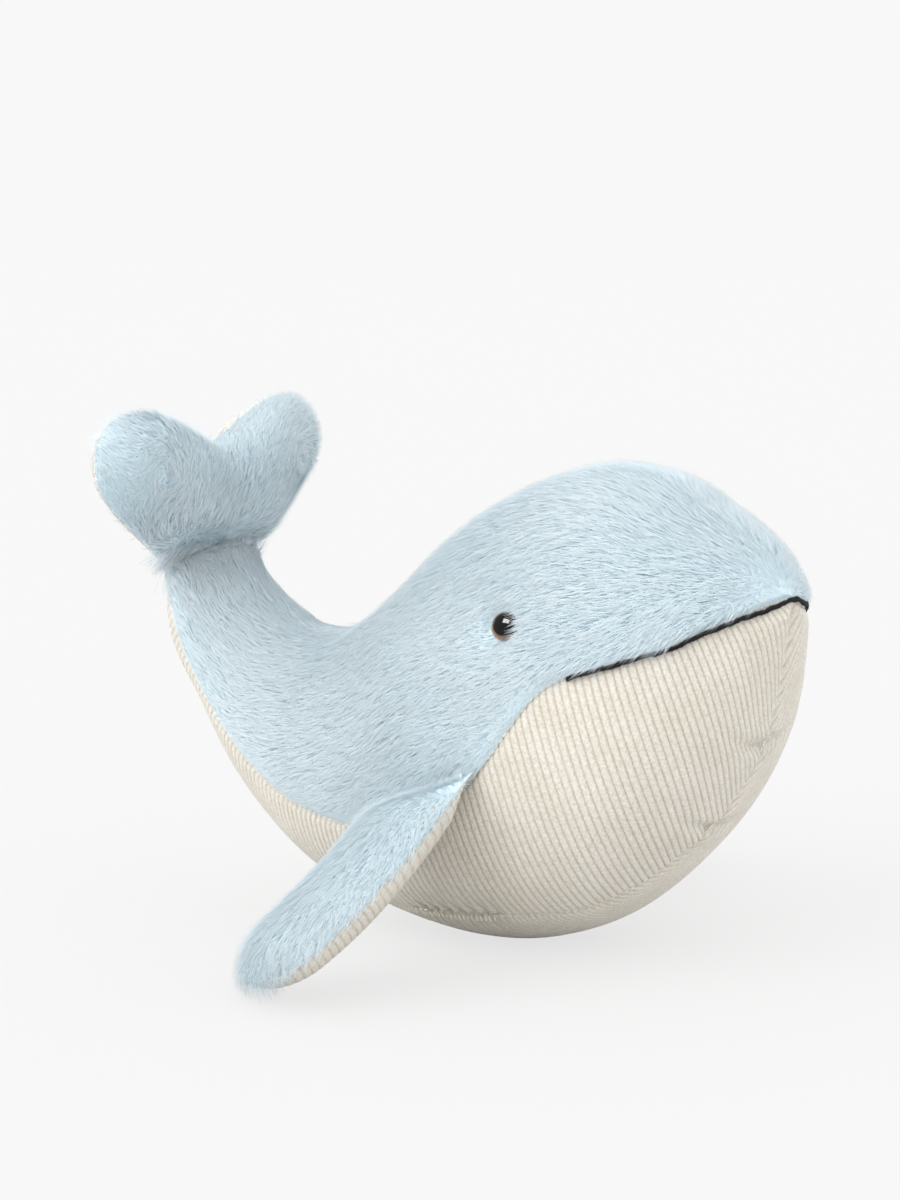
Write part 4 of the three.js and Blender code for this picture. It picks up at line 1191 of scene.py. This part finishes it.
def fluke_thickness(y, up, offset, push):
    """Half the fluke's thickness at places on its plane, and how far out they are, from 0 at its
    middle to 1 at its edge."""
    outline_up = OUTLINE[:, 1] - FLUKE_MIDDLE
    angle = np.arctan2(outline_up, OUTLINE[:, 0])
    far = np.hypot(OUTLINE[:, 0], outline_up)
    here = np.arctan2(up - FLUKE_MIDDLE, np.abs(y))
    order = np.argsort(angle)
    reach = np.interp(here, angle[order], far[order])
    # Over the foot the outline is the straight line of the fold
    below = here < angle.min()
    reach = np.where(below, FLUKE_MIDDLE / np.maximum(1e-6, -np.sin(np.where(below, here, -1.5))), reach)
    share = np.clip(np.hypot(y, up - FLUKE_MIDDLE) / reach, 0, 1)
    swell = np.sqrt(np.maximum(0, 1 - share ** 2))
    valley = 1 - FLUKE_VALLEY_SHARE * np.exp(-(y / FLUKE_VALLEY_WIDTH) ** 2)
    full = (FLUKE_THICKNESS / 2 * valley + offset) * swell + push * smooth((1 - share) / 0.2)
    wedge = FLUKE_ROOT_THICKNESS / 2 + FLUKE_WEDGE_SLOPE * np.maximum(0, up)
    return np.minimum(full, wedge + np.minimum(offset, 0)), share


def fluke_grid(across, columns, face, offset, push=0.0, inset=0.0):
    """Points over one face of the fluke: rows across it, each from the lower edge to the upper."""
    low, high = fluke_edges(across, inset)
    w = 0.5 - 0.5 * np.cos(np.linspace(0, math.pi, columns))
    up = low[:, None] + (high - low)[:, None] * w[None, :]
    y = across[:, None] * np.ones((1, columns))
    thick, share = fluke_thickness(y, up, offset, push)
    gap = 0.0001 + 0.0007 * smooth((1 - share) / 0.1)
    x = FLUKE_PLANE + face * (gap + thick)
    return np.stack([x, y, FLUKE_FLOOR + up], -1), up, share


def make_fluke_pile():
    """The fluke's front in fur."""
    across = HALF_SPAN * np.sin(np.linspace(-math.pi / 2, math.pi / 2, 121))
    outer, up, _ = fluke_grid(across, 41, 1, 0.0, PILE_PUSH)
    inner = fluke_grid(across, 41, 1, -BACKING_THICKNESS)[0]
    is_thin = np.abs(inner[..., :1] - outer[..., :1]) < 0.0004
    inner = np.where(is_thin, outer - [0.0003, 0, 0], inner)
    obj = make_shell("fluke_pile", outer, inner)
    # Combed up and outwards, with a whorl on each lobe
    y = outer[..., 1]
    way = np.stack([y / HALF_SPAN * 0.9, np.full_like(y, 0.75)], -1)
    for centre_y, centre_up, turning in ((-0.05, 0.04, 1.0), (0.052, 0.038, -1.0)):
        apart = np.stack([y - centre_y, up - centre_up], -1) / 0.016
        near = np.exp(-(apart ** 2).sum(-1, keepdims=True))
        around = np.stack([-apart[..., 1], apart[..., 0]], -1) * turning
        way = way * (1 - 0.7 * near) + around * 1.6 * near
    # Long tufts hang over the foot on the right, and some stand on the right lobe's crest
    on_right = smooth((0.012 - y) / 0.03)
    hanging = (1 - smooth((up - 0.003) / 0.014)) * on_right
    crest = smooth((up - 0.045) / 0.012) * np.exp(-((y + 0.04) / 0.017) ** 2)
    way[..., 1] = way[..., 1] * (1 - hanging) - 0.9 * hanging
    comb = unit(np.stack([0.05 + 0.3 * hanging, way[..., 0], way[..., 1]], -1))
    by_foot = np.exp(-((up - 0.008) / 0.012) ** 2)
    pile = 0.8 + 0.4 * by_foot * on_right + 0.3 * crest - 0.15 * smooth((-0.06 - y) / 0.015)
    # Paler towards the foot: painted light against the shade of the fold
    tone = np.clip(sway(outer) + 0.25 * by_foot, 0.05, 0.9)
    finish_skin(obj, outer, inner, comb, pile, 1.0, tone)
    grow_pile(obj, 31, swirl=1.6, swirl_size=0.03, pull=0.38)
    declare(obj, "fluke", ["fluke_fur"])


def make_fluke_corduroy():
    """The fluke's back in corduroy, with upright wales."""
    across = np.clip(wale_rows(-HALF_SPAN, HALF_SPAN), -HALF_SPAN, HALF_SPAN)
    cloth, up, share = fluke_grid(across, 33, -1, 0.0)
    outward = grid_normals(cloth, np.array([-1.0, 0, 0]))
    relief = WALE_DEPTH * (1 - ridge(cloth[..., 1])) * smooth((1 - share) / 0.04)
    outer = cloth - outward * relief[..., None]
    inner = fluke_grid(across[::WALE_ROWS], 33, -1, -CORD_THICKNESS - 0.0004)[0]
    uv = corduroy_map(cloth[..., 1] + (HALF_SPAN // WALE_PITCH + 2) * WALE_PITCH, up + 0.01)
    obj = make_shell("fluke_corduroy", outer, inner, WALE_ROWS, uv, CORDUROY)
    declare(obj, "fluke", ["fluke_cord"])


def make_fluke_filling(label, side):
    """Half of the fluke's filling, swollen and lumpy between its faces."""
    rows, columns = 50, 24
    across = side * np.linspace(0.0003, HALF_SPAN - FILLING_INSET, rows)
    front, back = (fluke_grid(across, columns, face, -FILLING_INSET, 0.0, FILLING_INSET)[0]
                   for face in (1, -1))
    swollen = 0.0005 * np.sin(np.linspace(0, math.pi, columns))[None, :]
    for grid, face in ((front, 1), (back, -1)):
        grid[..., 0] -= face * np.minimum(swollen, np.maximum(0, lumps(grid, 0.008, 0.0004)))
    obj = make_shell(f"fluke_stuffing_{label}", front, back, 1, halves_map(rows, columns), FILLING)
    declare(obj, "fluke", [f"fluke_filling_{label}"])


def sew_fluke():
    """The seam round the fluke."""
    rim = np.vstack([OUTLINE, OUTLINE[:-1][::-1] * [-1, 1]])
    inward = unit(np.array([0, FLUKE_MIDDLE]) - rim)
    path = rim + inward * 0.0003
    path = np.stack([np.full(len(path), FLUKE_PLANE), path[:, 0], FLUKE_FLOOR + path[:, 1]], -1)
    out = np.stack([np.zeros(len(path)), -inward[:, 0], -inward[:, 1]], -1)
    row = sew("fluke_seam_stitches", path, out)
    declare(row, "fluke", ["fluke_seam_thread"])


def fold_grid(face, along, columns, depth):
    """The cloth between the end of the tail and the foot of the fluke. along runs from 0, on the
    tail, to 1, on the fluke, and a little past both."""
    share = np.linspace(-1, 1, columns)[None, :] * np.ones((len(along), 1))
    seam = side_seam(np.array(1.0))
    turn = share * seam if face > 0 else np.pi - share * (np.pi - seam)
    t = 1 - 0.02 * np.maximum(0, -along)[:, None] * np.ones_like(share)
    tail = body_point(t, turn, -depth)
    angle = share * math.pi / 2
    thick = FLUKE_ROOT_THICKNESS / 2 + 0.0006 - depth * 0.7
    foot = np.stack([FLUKE_PLANE + face * thick * np.cos(angle), FOOT_HALF * np.sin(angle),
                     FLUKE_FLOOR + 0.003 * np.maximum(0, along - 1)[:, None] + 0 * share], -1)
    w = smooth(along)[:, None, None]
    return tail * (1 - w) + foot * w


def make_fold():
    """The fold of the tail: a strip of fur in front and of corduroy behind."""
    along = np.array([-1, -0.4, 0, 0.25, 0.5, 0.75, 1, 1.4, 2])
    columns = 41
    for name, face, slot in (("fold_pile", 1, "fur"), ("fold_corduroy", -1, "corduroy")):
        outer, inner = (fold_grid(face, along, columns, depth) for depth in (0.0, 0.0009))
        if face > 0:
            obj = make_shell(name, outer, inner)
            # The hairs hang on the right and stand up on the left
            fall = 2 * smooth((outer[..., 1] + 0.015) / 0.02) - 1
            comb = np.stack([0.3 + 0 * fall, 0.4 - 0.4 * np.abs(fall), fall], -1)
            # A pale tone of 0.8: painted light against the shade in the fold
            finish_skin(obj, outer, inner, comb, 1.15, 1.0, 0.8)
            grow_pile(obj, 41)
        else:
            obj = make_shell(name, outer, inner, 1, halves_map(len(along), columns) * 0.1, CORDUROY)
        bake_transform(obj)
        note([])
    y = np.linspace(-FOOT_HALF, FOOT_HALF, 30)
    path = np.stack([np.full(30, FLUKE_FOOT[0]), y, np.full(30, FLUKE_FLOOR - FOLD_GAP / 2)], -1)
    row = sew("fold_stitches", path, np.broadcast_to([1.0, 0, 0], path.shape))
    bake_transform(row)
    note(["fluke_fold_thread"])


def dress_washers():
    """The eyes' washers keep the shape of their solids, in moulded plastic."""
    for label in SIDES:
        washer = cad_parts[f"eye_washer_{label}"]
        for held in washer.material_slots:
            held.material = WASHER_PLASTIC


def make_camera():
    """A long lens from the whale's right, a little ahead of it and above it, as in the photo."""
    data = bpy.data.cameras.new("camera")
    camera = bpy.data.objects.new("camera", data)
    bpy.context.collection.objects.link(camera)
    azimuth, elevation, distance = math.radians(30), math.radians(8.5), 1.3
    target = Vector((-0.03, 0, 0.14))
    back = Vector((math.sin(azimuth) * math.cos(elevation), -math.cos(azimuth) * math.cos(elevation),
                   math.sin(elevation)))
    camera.location = target + back * distance
    camera.rotation_euler = (-back).to_track_quat("-Z", "Y").to_euler()
    data.sensor_fit = "HORIZONTAL"
    data.sensor_width = 36
    data.lens = 122.2
    bpy.context.scene.camera = camera


def make_stage():
    """A pale floor that keeps the soft shadow, and a backdrop of the same tone."""
    size = 6
    material, tree = new_material("pale paper sweep")
    floor = make_object("floor", [(-size, -size, 0), (size, -size, 0), (size, size, 0), (-size, size, 0)],
                        [(0, 1, 2, 3)], None, material)
    floor.location.z = -0.0004
    floor.visible_glossy = False
    # Seen directly, the sweep is partly lit by itself, which keeps its shadows as pale as in a studio
    paper = add(tree, "ShaderNodeBsdfDiffuse", {"Color": linear("#d4d4d4")})
    glow = add(tree, "ShaderNodeEmission", {"Color": linear("#f4f4f4")})
    share = add(tree, "MULTIPLY", [add(tree, "ShaderNodeLightPath").outputs["Is Camera Ray"], 0.8])
    add(tree, "ShaderNodeOutputMaterial", [add(tree, "ShaderNodeMixShader", [share, paper, glow])])
    world = bpy.data.worlds.new("studio")
    bpy.context.scene.world = world
    world.use_nodes = True
    tree = world.node_tree
    tree.nodes.clear()
    ray = add(tree, "ShaderNodeLightPath").outputs
    seen = add(tree, "ShaderNodeBackground", {"Color": linear("#f8f8f8"), "Strength": 1.0})
    cast = add(tree, "ShaderNodeBackground", {"Color": linear("#fcfcfc"), "Strength": 1.45})
    # A dim room for polished surfaces, which then show only the soft box
    room = add(tree, "ShaderNodeBackground", {"Color": linear("#fcfcfc"), "Strength": 0.25})
    lit = add(tree, "ShaderNodeMixShader", [ray["Is Glossy Ray"], cast, room])
    mixed = add(tree, "ShaderNodeMixShader", [ray["Is Camera Ray"], lit, seen])
    add(tree, "ShaderNodeOutputWorld", {"Surface": mixed})


def add_light(name, kind, place, target, energy, **settings):
    """A light at a place, turned to a target."""
    data = bpy.data.lights.new(name, kind)
    data.energy = energy
    for key, value in settings.items():
        setattr(data, key, value)
    light = bpy.data.objects.new(name, data)
    bpy.context.collection.objects.link(light)
    light.location = place
    light.rotation_euler = (Vector(place) - Vector(target)).to_track_quat("Z", "Y").to_euler()
    return light


def make_lights():
    """A broad sun for the cloth, and a soft box that only polished surfaces show."""
    high = add_light("soft sun", "SUN", (-0.45, -1.0, 0.85), (0, 0, 0.1), 1.36, angle=math.radians(50))
    high.visible_glossy = False
    box = add_light("soft box", "AREA", (-0.02, -0.97, 1.35), (0, -0.05, 0.12), 20,
                    shape="RECTANGLE", size=1.1, size_y=0.66)
    box.visible_diffuse = False


make_camera()
make_stage()
make_lights()
for label, side in SIDES.items():
    make_belly(label, side)
    make_back_fur(label, side)
    make_eye(label, side)
    make_fin(label, side)
make_body_filling("body_stuffing", "body_filling", 0.03, 0.73)
make_body_filling("tail_stuffing", "tail_filling", 0.7365, 1.0)
sew_body()
sew_mouth()
make_fluke_pile()
make_fluke_corduroy()
for label, side in SIDES.items():
    make_fluke_filling(label, side)
sew_fluke()
make_fold()
dress_washers()
bpy.context.scene.view_settings.view_transform = "Standard"
